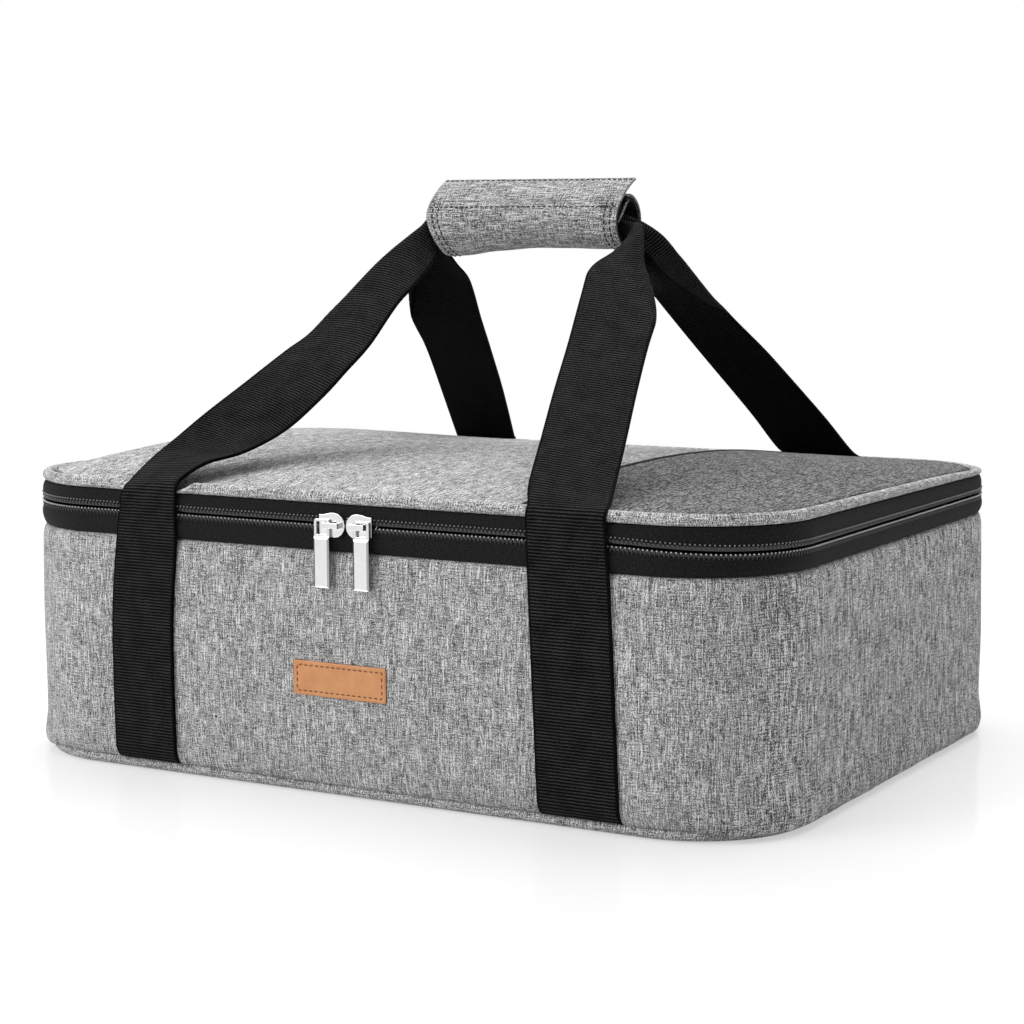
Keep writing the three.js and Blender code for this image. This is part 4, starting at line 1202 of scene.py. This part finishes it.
# Which of the metal finishes a face takes, by the way it faces: lit and shaded copies of the nickel
def metalShade(kind, x, y, z):
    # Sliders: the sides and underside take painted shade
    if kind == "slider":
        return 2 if y > -0.8 and (abs(x) > 0.3 or z < -0.3) else 0
    # Pulls: the front stays bright, the right side takes painted shade, the left side a painted dark reflection,
    # other edges a painted highlight
    return 0 if y < -0.97 else 3 if x < -0.3 else 2 if x > 0.3 else 1


def makeMetal():
    for name in ("left_slider", "right_slider", "left_pull", "right_pull"):
        side, kind = name.split("_")
        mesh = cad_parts[name].data.copy()
        work = bmesh.new()
        work.from_mesh(mesh)
        bmesh.ops.remove_doubles(work, verts=work.verts, dist=metal["weld"])
        bmesh.ops.dissolve_limit(work, angle_limit=math.radians(1), verts=work.verts, edges=work.edges)
        if kind == "pull":
            chamferTag(work)
        work.to_mesh(mesh)
        work.free()
        piece = placed(side + kind.capitalize(), mesh)
        bevel = piece.modifiers.new("ease", "BEVEL")
        bevel.width, bevel.segments = metal["ease"] * mm, 2
        bevel.limit_method, bevel.angle_limit = "ANGLE", math.radians(metal["limit"])
        eased = finalMesh(piece)
        piece.modifiers.clear()
        piece.data = eased
        eased.materials.clear()
        for finish in metal["finishes"]:
            eased.materials.append(finish)
        for face in eased.polygons:
            face.material_index = metalShade(kind, *face.normal)
        eased.shade_smooth()
        eased.set_sharp_from_angle(angle=math.radians(metal["sharp"]))
        fit(piece, name, "zip_metal", name)


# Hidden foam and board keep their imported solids
def dressInside():
    for name, finish in (("wall_foam", foamWhite), ("base_foam", foamWhite), ("base_board", boardPlastic)):
        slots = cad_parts[name].data.materials
        slots.clear()
        slots.append(finish)


# Studio: pale floor, soft lamps and a white room. Each lamp: name, place, size and power.
studio = dict(
    floorTone=0.8, nearTone=0.46, nearGlow=0.55, shine=0.1, shineRough=0.12, nearReach=0.42, farReach=1.1,
    floorReach=14, floorDrop=0.0002, roomLight=0.42, leftLight=0.28, aim=(0, 0, 0.12),
    lamps=(
        ("keyLamp", (-1.1, -1.5, 1.3), 1.5, 25.0), ("topLamp", (0.0, 0.4, 1.6), 1.7, 23.0),
        ("sideLamp", (1.7, -0.4, 0.9), 1.2, 0.7),
    ),
)


def seenRay(sheet):
    rays = sheet.node("ShaderNodeLightPath")
    return rays.maths("MAXIMUM", rays.twin("Is Glossy Ray")).maths("MAXIMUM", rays.twin("Is Transmission Ray"))


def blended(sheet, share, first, second):
    return sheet.node("ShaderNodeMixShader", {0: share, 1: first, 2: second})


def makeRoom():
    world = bpy.data.worlds.new("room")
    scene.world = world
    world.use_nodes = True
    sheet = Sheet(world.node_tree)
    leftness = sheet.axes(sheet.solidPlace("Generated"))[0] * -1.0
    strength = (leftness * studio["leftLight"] + 1.0) * studio["roomLight"]
    dim, white = (
        sheet.node("ShaderNodeBackground", {"Color": grey(1.0), "Strength": value}) for value in (strength, 1.0)
    )
    sheet.join(blended(sheet, seenRay(sheet), dim, white), world.node_tree.nodes["World Output"].inputs["Surface"])


def floorFinish():
    pale = bpy.data.materials.new("paleFloor")
    pale.use_nodes = True
    sheet = Sheet(pale.node_tree)
    pale.node_tree.nodes.remove(pale.node_tree.nodes["Principled BSDF"])
    plain, near = (
        sheet.node("ShaderNodeBsdfDiffuse", {"Color": grey(studio[key])}) for key in ("floorTone", "nearTone")
    )
    glow, far = (
        sheet.node("ShaderNodeEmission", {"Color": grey(1.0), "Strength": value})
        for value in (studio["nearGlow"], 1.0)
    )
    lit = sheet.node("ShaderNodeAddShader", {0: near, 1: glow})
    gloss = sheet.node("ShaderNodeBsdfGlossy", {"Color": grey(1.0), "Roughness": studio["shineRough"]})
    polished = blended(sheet, studio["shine"], lit, gloss)
    away = sheet.node("ShaderNodeVectorMath", {0: sheet.solidPlace()}, "Value", operation="LENGTH")
    shown = blended(sheet, sheet.eased(away, studio["nearReach"], studio["farReach"]), polished, far)
    surface = pale.node_tree.nodes["Material Output"].inputs["Surface"]
    sheet.join(blended(sheet, seenRay(sheet), plain, shown), surface)
    return pale


def makeStudio():
    makeRoom()
    reach = studio["floorReach"]
    floor = placed("floor", bpy.data.meshes.new("floor"))
    corners = [(x * reach, y * reach, -studio["floorDrop"]) for x, y in ((-1, -1), (1, -1), (1, 1), (-1, 1))]
    floor.data.from_pydata(corners, [], [(0, 1, 2, 3)])
    floor.data.materials.append(floorFinish())
    for name, place, size, power in studio["lamps"]:
        lamp = bpy.data.lights.new(name, "AREA")
        lamp.shape, lamp.size, lamp.energy = "DISK", size, power
        holder = placed(name, lamp)
        holder.location = place
        aim = Vector(studio["aim"]) - Vector(place)
        holder.rotation_euler = aim.to_track_quat("-Z", "Y").to_euler()


placeCamera()
makeStudio()
print("camera and studio set")
makeWall()
makeBase()
makeLiner()
print("tub sewn")
makeZipper()
makeHinge()
print("zip laid")
makeLid()
print("lid sewn")
makeStrap("frontStrap", -1, ("front_handle_webbing", "strap_leg_front_left", "strap_leg_front_right"))
makeStrap("rearStrap", 1, ("rear_handle_webbing", "strap_leg_rear_left", "strap_leg_rear_right"))
makeGrip()
print("handles sewn")
makeLabel()
makeMetal()
dressInside()
print("label and metal fitted")
